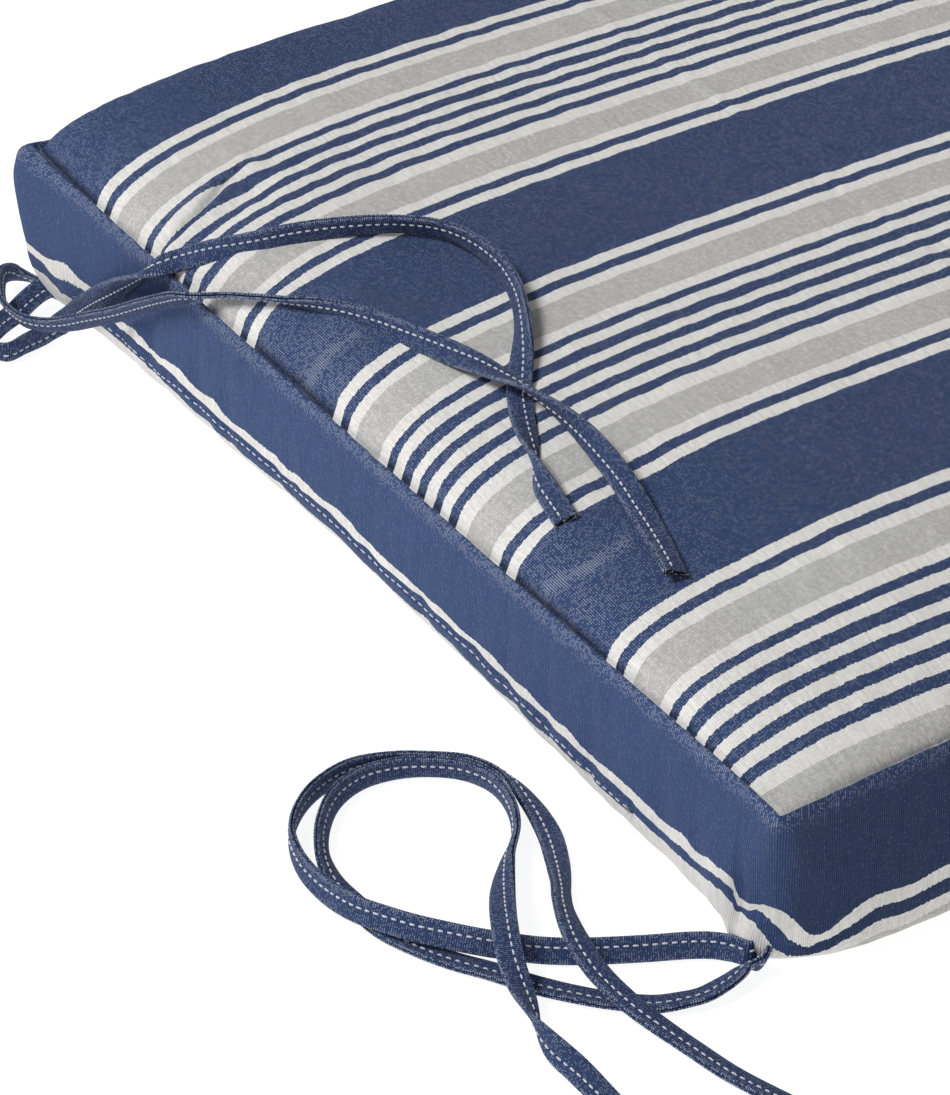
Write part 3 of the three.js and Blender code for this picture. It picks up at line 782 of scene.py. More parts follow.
# Gathers of the tied face: place, depth, half width, height and half height
GATHERS = [
    (-222, -1.0, 9, 36, 16), (-180, 1.6, 5, 32, 18), (-165, -0.8, 7, 38, 16),
    (-156, 1.8, 5, 34, 22), (-120, 2.0, 5.5, 34, 20), (-97, 1.6, 4.5, 34, 16),
    (-62, 0.8, 6, 34, 14), (-50, 1.0, 4.5, 34, 12), (8, 0.8, 7, 34, 14), (41, 0.9, 6, 34, 14),
    (77, 0.8, 6, 34, 14), (98, 1.2, 5, 34, 16), (123, 1.5, 5.5, 32, 16), (150, 1.9, 4.5, 30, 16),
    (172, -0.8, 9, 34, 16), (193, 1.6, 5, 30, 16), (214, 1.8, 4.5, 29, 15),
    (226, -0.9, 6, 34, 14), (238, 2.6, 3.2, 26, 15), (247, -2.5, 9, 9, 9),
]


def rise(distance, reach):
    return 1 - np.exp(-np.maximum(distance, 0) / reach)


def table(rows, place, column=1):
    rows = np.array(rows, float)
    return np.interp(place, rows[:, 0], rows[:, column])


def wave(rows, place):
    """Values of a table of crests and dips, with level tops and smooth slopes between them."""
    at, height = np.array(rows, float).T
    slopes = np.diff(height) / np.diff(at)
    runs_on = np.nonzero(slopes[:-1] * slopes[1:] > 0)[0]
    turn = np.zeros(len(at))
    turn[runs_on + 1] = 2 / (1 / slopes[runs_on] + 1 / slopes[runs_on + 1])
    k = np.clip(np.searchsorted(at, place) - 1, 0, len(at) - 2)
    step = at[k + 1] - at[k]
    s = np.clip((place - at[k]) / step, 0, 1)
    bow = (turn[k] * (1 - s) - turn[k + 1] * s) * step * s * (1 - s)
    return height[k] + (height[k + 1] - height[k]) * s * s * (3 - 2 * s) + bow


def ridges(lines, x, y):
    """Sum of soft ridges, each from x, y to x, y with its height and width."""
    height = np.zeros_like(x)
    for x0, y0, x1, y1, high, width in lines:
        dx, dy = x1 - x0, y1 - y0
        place = np.clip(((x - x0) * dx + (y - y0) * dy) / (dx * dx + dy * dy), 0, 1)
        away = np.hypot(x - x0 - place * dx, y - y0 - place * dy)
        height += high * np.exp(-((away / width) ** 2))
    return height


def seam_plan(u, v):
    """Where the seam grid's point u, v (each from -1 to 1) lies, seen from above."""
    draw_x = np.where(u > 0, DRAW_RIGHT, DRAW_LEFT)
    draw_y = np.where(v > 0, DRAW_FRONT, DRAW_BACK)
    inset_x = np.where(v < 0, 0.0, CORNER_INSET)
    inset_y = np.where(v < 0, np.where(u > 0, NEAR_INSET, TIED_LEFT_INSET), CORNER_INSET)
    corner = np.abs(u * v) ** CORNER_SHARPNESS
    x = WIDTH / 2 * u - draw_x * u * np.abs(u) * (1 - v * v) - inset_x * corner * np.sign(u)
    y = MIDDLE_Y + DEPTH / 2 * v - draw_y * v * np.abs(v) * (1 - u * u)
    return x, y - inset_y * corner * np.sign(v)


def crease_at(y):
    """Where the sharp crease crosses each y, and how much cloth it hides there."""
    line = np.array(CREASE, float)
    return np.interp(y, line[:, 1], line[:, 0]), np.interp(y, line[:, 1], CREASE_HIDDEN)


def top_height(u, v, x, y):
    right = seam_plan(np.ones_like(v), v)[0] - x
    left = x - seam_plan(-np.ones_like(v), v)[0]
    back = y - seam_plan(u, -np.ones_like(u))[1]
    front = seam_plan(u, np.ones_like(u))[1] - y
    sides = rise(right, REACH_RIGHT) * rise(left, REACH_LEFT)
    ends = rise(back, REACH_BACK) * rise(front, REACH_FRONT)
    inward = np.clip(back / DEPTH, 0, 1)
    dome = (1 - u * u) * inward * (2 - inward) * rise(front, DOME_RISE)
    shoulder = np.exp(-left / SHOULDER_REACH) * rise(left, SHOULDER_RISE)
    shoulder *= rise(back, SHOULDER_ENDS) * rise(front, SHOULDER_ENDS)
    nearest = np.minimum(np.minimum(back, front), np.minimum(left, right))
    z = SEAM_HEIGHT + CROWN * sides * ends + DOME * dome + SHOULDER * shoulder
    z += ridges(FOLDS, x, y) * rise(nearest, FOLD_RISE)
    full = table(FULLNESS, x) * np.exp(-(back / table(FULLNESS, x, 2)) ** 2)
    z += full * rise(back, FULL_RISE) * rise(right, FULL_ENDS) * rise(left, FULL_ENDS)
    left_full = LEFT_FULLNESS * np.exp(-left / LEFT_REACH) * rise(left, LEFT_RISE)
    z += left_full * rise(back, LEFT_BACK) * rise(front, LEFT_FRONT)
    right_full = RIGHT_FULLNESS * np.exp(-(right / RIGHT_REACH) ** 2) * rise(right, RIGHT_RISE)
    z += right_full * rise(back, RIGHT_ENDS) * rise(front, RIGHT_ENDS)
    crease_x, hidden = crease_at(y)
    cut = np.exp(-(((x - crease_x) / CREASE_WIDTH) ** 2)) * hidden / max(CREASE_HIDDEN)
    z -= CREASE_DEPTH * cut * rise(nearest, CREASE_RISE)
    return z - SEAM_GROOVE * np.exp(-((np.maximum(nearest, 0) / GROOVE_WIDTH) ** 2))


def top_across(x, y):
    """The cloth's own width at each point of the top panel, which jumps at the crease."""
    crease_x, hidden = crease_at(y)
    away = x - crease_x
    side = np.clip(away / CREASE_JUMP, -1, 1) * 0.5
    pulled = hidden * side * np.exp(-np.abs(away) / CREASE_PULL)
    corner = np.hypot(x + WIDTH / 2, y + DEPTH / 2 - MIDDLE_Y)
    return x + STRIPE_START + pulled - CORNER_SHIFT * np.exp(-((corner / CORNER_SHIFT_REACH) ** 2))


def stepped(steps):
    """Places from the first to the last of a table of starts and steps, an odd number of them."""
    places = [steps[0][0]]
    for (start, step), (end, _) in zip(steps, steps[1:]):
        count = max(1, round((end - start) / step))
        places += [start + (end - start) * (k + 1) / count for k in range(count)]
    if len(places) % 2 == 0:
        places.insert(len(places) // 2, sum(places[len(places) // 2 - 1:len(places) // 2 + 1]) / 2)
    return np.array(places, float)


def gather_depth(x, z):
    depth = np.zeros_like(x)
    for place, deep, width, level, height in GATHERS:
        depth += deep * np.exp(-(((x - place) / width) ** 2) - ((z - level) / height) ** 2)
    return depth


def boxing_rows(bulge, start, reach, full):
    """Rows from the seam to the floor, each an array of how far out and an array of heights."""
    flat = np.zeros_like(bulge)
    rows = [(out + flat, z + flat) for out, z in BOXING_ROLL]
    first_out, first_z = BOXING_ROLL[-1]
    for share in FACE_SHARES:
        z = first_z + (start - first_z) * share
        turn = np.sin(np.pi / 2 * np.clip((first_z - z) / (first_z - full), 0, 1))
        rows.append((first_out + (bulge - first_out) * turn, z))
    for angle in np.radians(UNDER_ANGLES):
        rows.append((bulge - reach * (1 - np.cos(angle)), start * (1 - np.sin(angle)) + ABOVE_FLOOR))
    return rows


def corner_move(out, away, radius):
    """How far an arc moves a point of a square corner, along its own side's outward step and
    along the adjoining side's. away is its distance from the corner along the seam."""
    length = CORNER_BLEND + out
    arc = np.pi / 4 * radius
    place = np.minimum(away, CORNER_BLEND) * (arc + length - radius) / CORNER_BLEND
    angle = np.pi / 4 - place / radius
    on_arc = place < arc
    own = np.where(on_arc, radius * np.cos(angle) - radius, 0.0)
    other = np.where(on_arc, radius * np.sin(angle) - radius, arc - radius - place)
    inside = away < CORNER_BLEND
    return np.where(inside, own, 0.0), np.where(inside, other + out + away, 0.0)


def grid_faces(index):
    corners = index[:-1, :-1], index[:-1, 1:], index[1:, 1:], index[1:, :-1]
    return np.stack([corner.ravel() for corner in corners], axis=1).tolist()


def coons(grid_shape, rim, values):
    """A smooth patch over the grid between the values on its rim."""
    rows, columns = grid_shape
    edge = np.zeros((rows, columns))
    edge[rim[:, 0], rim[:, 1]] = values
    s = np.linspace(0, 1, columns)[None, :]
    t = np.linspace(0, 1, rows)[:, None]
    across = edge[:, :1] * (1 - s) + edge[:, -1:] * s
    along = edge[:1] * (1 - t) + edge[-1:] * t
    corners = (edge[0, 0] * (1 - s) * (1 - t) + edge[0, -1] * s * (1 - t)
               + edge[-1, 0] * (1 - s) * t + edge[-1, -1] * s * t)
    return across + along - corners


def boxing_points(ru, rv):
    """Rows of points of the boxing below the rim, and how much cloth is below the thin stripe."""
    rx, ry = seam_plan(ru, rv)
    on_end = np.abs(rv) == 1
    side_x, side_y = np.sign(ru), np.sign(rv)
    tied = on_end & (rv < 0)
    shapes = []
    for column in (1, 2, 3, 4):
        shapes.append(np.where(on_end, table(TIED_ROLL, rx, column), table(RIGHT_ROLL, ry, column)))
    away = np.where(on_end, WIDTH / 2 * (1 - np.abs(ru)), DEPTH / 2 * (1 - np.abs(rv)))
    near_corner = (ru > 0) & (rv < 0)
    puffed = (ru < 0) & (rv < 0)
    at_corner = np.abs(ru * rv) == 1
    rows = []
    for out, z in boxing_rows(*shapes):
        radius = np.where(near_corner, table(NEAR_RADIUS, z), table(CORNER_RADIUS, z))
        own, other = corner_move(out, np.where(at_corner, 0, away), radius)
        puff = np.where(puffed, table(CORNER_PUFF, z) * np.exp(-((away / PUFF_REACH) ** 2)), 0)
        deep = np.where(tied, gather_depth(rx, z) * rise(away, GATHER_RISE), 0)
        own = own + out + puff - deep
        other = other + puff
        x = rx + side_x * np.where(on_end, other, own)
        y = ry + side_y * np.where(on_end, own, other)
        rows.append(np.stack([x, y, z], -1))
    rows = np.stack(rows)
    steps = np.linalg.norm(np.diff(rows, axis=0), axis=2)
    depth = np.vstack([np.zeros(len(ru)), np.cumsum(steps, axis=0)])
    edge = np.where(on_end, np.where(tied, wave(TIED_LOW, rx), ELSEWHERE_EDGES[2]),
                    np.where(ru > 0, wave(RIGHT_LOW, ry), ELSEWHERE_EDGES[2]))
    at_edge = [np.interp(-edge[k], -rows[:, k, 2], depth[:, k]) for k in range(len(ru))]
    return rows, np.maximum(depth - np.array(at_edge), 0.0)


def follow_crease(u, v):
    """Columns of the grid moved so that one of them runs along the sharp crease."""
    line = np.array(CREASE, float)
    y = MIDDLE_Y + DEPTH / 2 * v
    start = CREASE_COLUMN
    shift = np.interp(y, line[:, 1], line[:, 0]) - start
    shift *= np.clip(1 - (y - line[-1, 1]) / CREASE_FADE, 0, 1)
    x = WIDTH / 2 * u
    window = np.where(x < start, (x + WIDTH / 2) / (start + WIDTH / 2),
                      np.clip(1 - (x - start) / CREASE_FADE, 0, 1))
    return (x + shift * window) / (WIDTH / 2)


# What each face of the cushion belongs to, and what each of its vertices knows: the place on the
# panel beside it, its height, cloth length along the stripes, cloth below the thin stripe, length
# along the boxing, and distance inward from the seam
TOP, TIED, RIGHT, OTHER, UNDER = range(5)
FACTS = ("place_x", "place_y", "height", "along", "below", "run", "inward")
RIBS_FROM = -165  # y of the row whose cloth length is its own y
FACE_ROW = 10  # the boxing's row along which its length is taken
UNDER_LOOP = [(0, 0), (1, 0), (2, 0), (2, 1), (2, 2), (1, 2), (0, 2), (0, 1)]


def grid_rim(rows, columns):
    """The grid's rim as (row, column), counter-clockwise seen from above."""
    rim = [(0, i) for i in range(columns - 1)]
    rim += [(j, columns - 1) for j in range(rows - 1)]
    rim += [(rows - 1, i) for i in range(columns - 1, 0, -1)]
    rim += [(j, 0) for j in range(rows - 1, 0, -1)]
    return np.array(rim)


def rib_lengths(x, y, z):
    """The cloth's own length along its stripes at each point of the top panel."""
    steps = np.sqrt(np.diff(x, axis=0) ** 2 + np.diff(y, axis=0) ** 2 + np.diff(z, axis=0) ** 2)
    length = np.vstack([np.zeros(x.shape[1]), np.cumsum(steps, axis=0)])
    first = int(np.argmin(np.abs(y[:, x.shape[1] // 2] - RIBS_FROM)))
    return length - length[first] + y[first]


def under_side(shape, rim, band, last, following):
    """Points and faces of the flat underside, with every second row and column."""
    x, y = coons(shape, rim, last[:, 0]), coons(shape, rim, last[:, 1])
    kept = np.zeros(shape, bool)
    kept[2:-1:2, 2:-1:2] = True
    bottom = np.full(shape, -1)
    bottom[rim[:, 0], rim[:, 1]] = band
    bottom[kept] = np.arange(following, following + kept.sum())
    faces = []
    for j in range(0, shape[0] - 1, 2):
        for i in range(0, shape[1] - 1, 2):
            loop = [int(bottom[j + a, i + b]) for a, b in UNDER_LOOP]
            faces.append([k for k in loop if k >= 0])
    return np.stack([x[kept], y[kept], np.zeros(kept.sum())], -1), faces


def cushion_mesh(material):
    """The cloth's mesh, the vertices of its seam, and the boxing's length all round."""
    us = stepped(COLUMN_STEPS) * 2 / WIDTH
    vs = stepped(ROW_STEPS) * 2 / DEPTH - 1
    grid_u, grid_v = np.meshgrid(us, vs)
    u = follow_crease(grid_u, grid_v)
    x, y = seam_plan(u, grid_v)
    z = top_height(u, grid_v, x, y)
    rows, columns = u.shape
    total = rows * columns
    top = np.arange(total).reshape(rows, columns)
    faces = grid_faces(top)
    parts = [TOP] * len(faces)

    rim = grid_rim(rows, columns)
    at_rim = rim[:, 0], rim[:, 1]
    seam = top[at_rim]
    sides = [TIED] * (columns - 1) + [RIGHT] * (rows - 1) + [OTHER] * (columns + rows - 2)
    boxing, below = boxing_points(us[rim[:, 1]], vs[rim[:, 0]])
    middle = boxing[FACE_ROW]
    run = np.concatenate([[0], np.cumsum(np.linalg.norm(np.diff(middle, axis=0), axis=1))])
    on_seam = np.zeros(total)
    on_seam[seam] = run
    inward = np.minimum(WIDTH / 2 * (1 - np.abs(grid_u)), DEPTH / 2 * (1 - np.abs(grid_v)))
    along = rib_lengths(x, y, z)
    points = [np.stack([x, y, z], -1).reshape(-1, 3)]
    facts = [np.stack([x.ravel(), y.ravel(), z.ravel(), along.ravel(), np.zeros(total), on_seam,
                       inward.ravel()])]
    bands = [seam]
    for k in range(1, len(boxing)):
        points.append(boxing[k])
        facts.append(np.stack([x[at_rim], y[at_rim], boxing[k][:, 2], 0 * run, below[k], run, 0 * run]))
        bands.append(np.arange(len(rim)) + total + (k - 1) * len(rim))
    for upper, lower in zip(bands, bands[1:]):
        faces += np.stack([lower, np.roll(lower, -1), np.roll(upper, -1), upper], 1).tolist()
        parts += sides

    flat, flat_faces = under_side(u.shape, rim, bands[-1], boxing[-1], bands[-1][-1] + 1)
    points.append(flat)
    facts.append(np.vstack([flat.T[:2], np.zeros((len(FACTS) - 2, len(flat)))]))
    faces += flat_faces
    parts += [UNDER] * len(flat_faces)

    piece = make_object("cushion_cloth", np.vstack(points), faces, material)
    for name, values in zip(FACTS, np.hstack(facts)):
        set_values(piece, name, values)
    layer = piece.data.attributes.new("part", "INT", "FACE")
    layer.data.foreach_set("value", parts)
    sharpen_seam(piece.data, seam)
    return piece, seam, run[-1] + np.linalg.norm(middle[-1] - middle[0])


SEAM_SHARPNESS = 0.75


def sharpen_seam(mesh, seam):
    """The subdivision keeps the seam's groove."""
    on_seam = np.zeros(len(mesh.vertices), bool)
    on_seam[seam] = True
    ends = values_of(mesh.edges, "vertices", np.int32, 2)
    crease = mesh.attributes.new("crease_edge", "FLOAT", "EDGE")
    crease.data.foreach_set("value", np.where(on_seam[ends].all(axis=1), SEAM_SHARPNESS, 0.0))


# Cushion: the cloth's pattern
# Cloth width of the wide navy stripe's edge and of the thin one's two
EDGE_ACROSS = np.cumsum([width for _, width in STRIPES[:3]])
FULL_GREY = 5.0  # how much cloth shows below the thin stripe on the tied side
NAVY_START = 1.0  # the wide navy stripe's cloth turns back before it comes nearer to its start
LOW_START = 0.02  # what lies below the thin stripe starts this far inside the white one
# How soon the grey stripe follows below the thin one on the right side, from the tied end on
GREY_NARROWS = [(-245, 0.3), (-232, 0.45), (-215, 1.0), (245, 1.0)]

# Flecks, as strengths of the light threads: on the top panel, and more beside the tied seam, beside the
# right one and on the ridges, where they are partly a painted highlight, with how far each reaches
TOP_FLECKS = 0.44
NEAR_FLECKS, NEAR_REACH = 0.22, 30
RIGHT_FLECKS, RIGHT_FLECKS_FROM, RIGHT_FLECKS_REACH = 0.15, 6, 10
RIDGE_FLECKS_AND_HIGHLIGHT, RIDGE_REACH = 0.12, 60
# On the boxing: strength on its face, and more on the rolled edge beside the seam, partly as a painted
# highlight
BOXING_FLECKS_AND_HIGHLIGHT = {TIED: (0.12, 0.85), RIGHT: (0.06, 0.55), OTHER: (0.2, 0.5)}
ROLL_DEPTH = 5.5
# Painted light and shade as tones, from the darkest navy (0) to the lightest (1): the top darker than
# the lit tied face, and lighter beside the tied seam
TOP_PAINTED_SHADE, NEAR_PAINTED_LIGHT, NEAR_PAINTED_LIGHT_REACH = 0.5, 0.26, 45
CORNER_PAINTED_SHADE, CORNER_FROM, CORNER_WIDTH = 0.35, 244, 11  # painted shade on the tied face, where it turns to the right
TURN_PAINTED_LIGHT, TURN_FROM, TURN_WIDTH = 0.65, -228, 12  # painted light on the right face, beside that corner
# Painted highlight along the right face's rolled edge
ROLLED_PAINTED_HIGHLIGHT = 0.35


def boxing_across(edges, place, height, below):
    """Cloth width at places on the boxing, from the heights of its stripes' edges there."""
    wide, thin, low = (wave(rows, place) if isinstance(rows, list) else rows for rows in edges)
    first, second, third = EDGE_ACROSS
    across = np.where(
        height > wide, np.abs(first - (height - wide) - NAVY_START) + NAVY_START,
        np.where(height > thin, first + (second - first) * (wide - height) / (wide - thin),
                 second + (third - second) * (thin - height) / (thin - low)))
    return np.where(height < low, third + LOW_START + below, across)


def lay_cloth(piece, whole_run):
    """Cloth coordinates at each corner of each face, from what the vertices know."""
    mesh = piece.data
    facts = [values_of(mesh.attributes[name].data, "value").astype(float) for name in FACTS]
    parts = values_of(mesh.attributes["part"].data, "value", np.int32)
    totals = values_of(mesh.polygons, "loop_total", np.int32)
    corners = values_of(mesh.loops, "vertex_index", np.int32)
    part = np.repeat(parts, totals)
    x, y, z, along, below, run, _ = (values[corners] for values in facts)

    # Where the boxing's cloth meets itself, its length goes on
    face = np.repeat(np.arange(len(parts)), totals)
    longest = np.zeros(len(parts))
    np.maximum.at(longest, face, run)
    run = np.where((run < whole_run / 2) & (longest[face] > whole_run * 0.75), run + whole_run, run)

    across = np.select(
        [part == TOP, part == TIED, part == RIGHT, part == OTHER],
        [top_across(x, y),
         boxing_across((TIED_WIDE, TIED_THIN, TIED_LOW), x, z, np.minimum(below, FULL_GREY)),
         boxing_across((RIGHT_WIDE, RIGHT_THIN, RIGHT_LOW), y, z, below * table(GREY_NARROWS, y)),
         boxing_across(ELSEWHERE_EDGES, x, z, below)],
        x + STRIPE_START)
    on_boxing = (part == TIED) | (part == RIGHT) | (part == OTHER)
    set_corner_uv(mesh, across, np.where(on_boxing, run, np.where(part == TOP, along, y)))
    vertex_part = np.full(len(mesh.vertices), TOP)
    vertex_part[corners[part != TOP]] = part[part != TOP]
    shade_cloth(piece, vertex_part, *facts[:3], facts[-1])


def top_flecks(x, y):
    """Light threads show most where the cloth is stretched over the edge beside the tied seam; on the
    ridges and streaks they are partly a painted highlight.
    """
    back = y - MIDDLE_Y + DEPTH / 2
    near = NEAR_FLECKS * np.exp(-((back / NEAR_REACH) ** 2))
    right = WIDTH / 2 - RIGHT_FLECKS_FROM - x
    right = RIGHT_FLECKS * np.exp(-((right / RIGHT_FLECKS_REACH) ** 2))
    raised = RIDGE_FLECKS_AND_HIGHLIGHT * np.maximum(ridges(FOLDS, x, y), 0) * np.exp(-((back / RIDGE_REACH) ** 2))
    return TOP_FLECKS + near + right + raised + ridges(STREAK_FLECKS_AND_HIGHLIGHT, x, y)


def shade_cloth(piece, part, x, y, z, inward):
    """How strong the flecks are, partly a painted highlight on the rolled edge, painted light and shade
    as the navy's tone, and painted shade in the crevice beside the seam.
    """
    rolled_highlight = np.exp(-((np.maximum(SEAM_HEIGHT - z, 0) / ROLL_DEPTH) ** 4))
    strength = top_flecks(x, y)
    for kind, (face, more) in BOXING_FLECKS_AND_HIGHLIGHT.items():
        strength = np.where(part == kind, face + more * rolled_highlight, strength)
    set_values(piece, "fleck", strength)

    # Painted light and shade: the tied face lit and darker where it turns to the right, the right face
    # shaded but lit beside that corner and along its rolled edge, the top in between and lighter beside
    # the tied seam
    tied = 1.0 - CORNER_PAINTED_SHADE * np.clip((x - CORNER_FROM) / CORNER_WIDTH, 0, 1) ** 2
    right = TURN_PAINTED_LIGHT * np.clip((TURN_FROM - y) / TURN_WIDTH, 0, 1) ** 2
    right = right + ROLLED_PAINTED_HIGHLIGHT * rolled_highlight * (1 - right)
    top = TOP_PAINTED_SHADE + NEAR_PAINTED_LIGHT * np.exp(-(((y + 240) / NEAR_PAINTED_LIGHT_REACH) ** 2))
    set_values(piece, "tone_and_painted_light", np.select([part == TIED, part == RIGHT], [tied, right], top))
    # Painted shade along the seam's crevice on the top panel
    seam_crevice_shade = CREVICE_SHADE * np.exp(-((inward - 0.5) / CREVICE_SHADE_WIDTH) ** 2)
    set_values(piece, "seam_crevice_shade", np.where(part == TOP, seam_crevice_shade, 0.0))


# Cushion: cloth simulation
SIMULATION_STEPS = 20
CLOTH_SETTINGS = {
    "quality": 5, "mass": 0.25, "tension_stiffness": 18, "compression_stiffness": 18,
    "shear_stiffness": 6, "bending_stiffness": 0.4, "use_pressure": True,
    "uniform_pressure_force": 2.0, "shrink_min": -0.012, "pin_stiffness": 1.0,
}
HELD_SOFTLY = 0.35
ON_FLOOR = 3.0  # what lies lower than this stays
MOST_MOVE = 2.2  # how far the simulation may move a point; its way along the cloth is left out


def simulate(piece, held):
    """Where the cloth's vertices are at the end of the simulation."""
    modifier = piece.modifiers.new("cloth", "CLOTH")
    for name, value in CLOTH_SETTINGS.items():
        setattr(modifier.settings, name, value)
    modifier.settings.vertex_group_mass = held.name
    modifier.settings.effector_weights.gravity = 0
    modifier.collision_settings.use_collision = False
    modifier.point_cache.frame_start = 1
    modifier.point_cache.frame_end = SIMULATION_STEPS
    for step in range(1, SIMULATION_STEPS + 1):
        bpy.context.scene.frame_set(step)
    graph = bpy.context.evaluated_depsgraph_get()
    places = values_of(piece.evaluated_get(graph).data.vertices, "co", width=3)
    piece.modifiers.remove(modifier)
    return places


def soften(piece, seam):
    """The filling pushes on the cloth, which is held along the seam and near its cut shape."""
    mesh = piece.data
    start = values_of(mesh.vertices, "co", width=3)
    held = piece.vertex_groups.new(name="held")
    held.add(list(range(len(start))), HELD_SOFTLY, "REPLACE")
    held.add([int(k) for k in seam], 1.0, "REPLACE")
    held.add([int(k) for k in np.nonzero(start[:, 2] < ON_FLOOR * MM)[0]], 1.0, "REPLACE")
    move = simulate(piece, held) - start
    length = np.linalg.norm(move, axis=1)[:, None]
    most = MOST_MOVE * MM
    move *= most * np.tanh(length / most) / np.maximum(length, 1e-9)
    normals = values_of(mesh.vertex_normals, "vector", width=3)
    move = normals * np.sum(move * normals, axis=1)[:, None]
    piece.vertex_groups.remove(held)
    mesh.vertices.foreach_set("co", (start + move).ravel())
    mesh.update()
    bpy.context.scene.frame_set(1)


def subdivide(piece):
    """One subdivision, applied."""
    piece.modifiers.new("smooth", "SUBSURF").levels = 1
    graph = bpy.context.evaluated_depsgraph_get()
    mesh = bpy.data.meshes.new_from_object(
        piece.evaluated_get(graph), preserve_all_data_layers=True, depsgraph=graph)
    piece.modifiers.clear()
    old = piece.data
    piece.data = mesh
    bpy.data.meshes.remove(old)
    mesh.name = piece.name


# Zip: the boxing's fold that covers it, and the line of thread along the fold
ZIP_FROM, ZIP_TO = -212.0, 178.0
# How far below the thin stripe's upper edge the line of thread runs
ZIP_THREAD = [
    (-212, 4.0), (-143, 4.0), (-132, 2.5), (-115, 2.1), (-86, 1.7), (-69, 1.55), (28, 1.5), (57, 1.6),
    (80, 2.2), (95, 2.4), (118, 2.8), (135, 3.2), (148, 3.5), (178, 3.8),
]
THREAD_ABOVE_FOLD = 1.5
FLAP_ABOVE_STRIPE = 0.2
FLAP_ENDS, LEAST_PROUD = 7.0, 0.25  # the fold sinks into the boxing towards its two ends
# The fold's section: share of its height above the fold, height added, and how far it stands out
FLAP_SECTION = [
    (1.0, 0.7, -0.7), (1.0, 0.1, 0.1), (0.75, 0, 0.5), (0.5, 0, 0.95), (0.3, 0, 1.25), (0.0, 0.9, 1.5),
    (0.0, 0.45, 1.6), (0.0, 0.15, 1.5), (0.0, 0.0, 1.25), (0.0, 0.05, 0.95), (0.0, 0.35, 0.7),
    (0.0, 1.2, 0.55), (0.35, 0.8, 0.0), (0.5, 0.8, -0.8),
]
FLAP_FLECKS = [0.3, 0.3, 0.3, 0.3, 0.3, 0.4, 0.6, 0.5, 0.2, 0, 0, 0, 0, 0]
FLAP_TONE = 0.7
FLAP_POINTS = 313
# How far the fold's face stands out, at shares of its height
FLAP_OUT = [(0.2, 1.45), (0.3, 1.25), (0.5, 0.95), (0.75, 0.5), (1.0, 0.1)]
THREAD_FACES = (0.0, -0.94, 0.34)
ZIP_STITCH_PITCH, ZIP_STITCH_LENGTH, ZIP_STITCH_RADIUS = 4.3, 3.0, 0.26
ZIP_STITCH_OUT = 0.1  # how far it stands out from the fold
ZIP_STITCH_START, ZIP_STITCH_END = 4, 2  # how far from the fold's two ends
# Loose threads at the fold's two ends
ZIP_FRAYS, ZIP_FRAYS_INSIDE, ZIP_FRAYS_UP, ZIP_FRAYS_STEP = 7, 1.5, 0.4, 0.5
ZIP_FRAYS_OUT, ZIP_FRAYS_SIDE = 1.1, 0.7
ZIP_FRAY_WAY, ZIP_FRAY_SPREAD = (0.0, -1.0, -0.35), 0.6
ZIP_FRAY_LENGTH, ZIP_FRAY_RADIUS, ZIP_FRAY_SEED = 4.5, 0.14, 29


def flap_frame(xs):
    """For places along the tied edge: the boxing's surface there, as y at any height."""
    rows = boxing_points(xs * 2 / WIDTH, -np.ones(len(xs)))[0]
    return lambda k, z: np.interp(-z, -rows[5:, k, 2], rows[5:, k, 1])


def flap_heights(xs):
    edge = wave(TIED_THIN, xs)
    ends = np.clip(np.minimum(xs - ZIP_FROM, ZIP_TO - xs) / FLAP_ENDS, 0, 1)
    proud = LEAST_PROUD + (1 - LEAST_PROUD) * np.sqrt(ends)
    return edge - table(ZIP_THREAD, xs) - THREAD_ABOVE_FOLD, edge + FLAP_ABOVE_STRIPE, proud


def zip_flap(material):
    xs = np.linspace(ZIP_FROM, ZIP_TO, FLAP_POINTS)
    surface = flap_frame(xs)
    fold, top, proud = flap_heights(xs)
    points, across = [], []
    for k, x in enumerate(xs):
        ring = []
        for share, added, out in FLAP_SECTION:
            z = fold[k] + (top[k] - fold[k]) * share + added
            ring.append((x, surface(k, z) - (out * proud[k] if out > 0 else out), z))
        points += ring
        steps = np.linalg.norm(np.diff(np.array(ring), axis=0), axis=1)
        across += list(EDGE_ACROSS[1] + np.concatenate([[0], np.cumsum(steps)]))
    sides = len(FLAP_SECTION)
    index = np.arange(len(points)).reshape(len(xs), sides)
    index = np.hstack([index, index[:, :1]])
    faces = grid_faces(index)
    faces.append(tuple(int(i) for i in index[0, :-1]))
    faces.append(tuple(int(i) for i in index[-1, -2::-1]))
    piece = make_object("zip_flap", points, faces, material)
    set_uv(piece, across, np.repeat(xs + WIDTH / 2, sides))
    set_values(piece, "fleck", np.tile(FLAP_FLECKS, len(xs)))
    set_values(piece, "tone_and_painted_light", np.full(len(points), FLAP_TONE))
    return piece


def zip_stitches(material):
    xs = np.arange(ZIP_FROM + ZIP_STITCH_START, ZIP_TO - ZIP_STITCH_END, ZIP_STITCH_PITCH)
    surface = flap_frame(xs)
    fold, top, proud = flap_heights(xs)
    centres = []
    for k, x in enumerate(xs):
        z = fold[k] + THREAD_ABOVE_FOLD
        out = table(FLAP_OUT, (z - fold[k]) / (top[k] - fold[k]))
        centres.append((x, surface(k, z) - out * proud[k] - ZIP_STITCH_OUT, z))
    centres = np.array(centres)
    ways = np.gradient(centres, axis=0)
    ways /= np.linalg.norm(ways, axis=1)[:, None]
    ups = np.tile(THREAD_FACES, (len(xs), 1))
    return dashes("zip_stitches", centres, ways, ups, ZIP_STITCH_LENGTH, ZIP_STITCH_RADIUS, material)


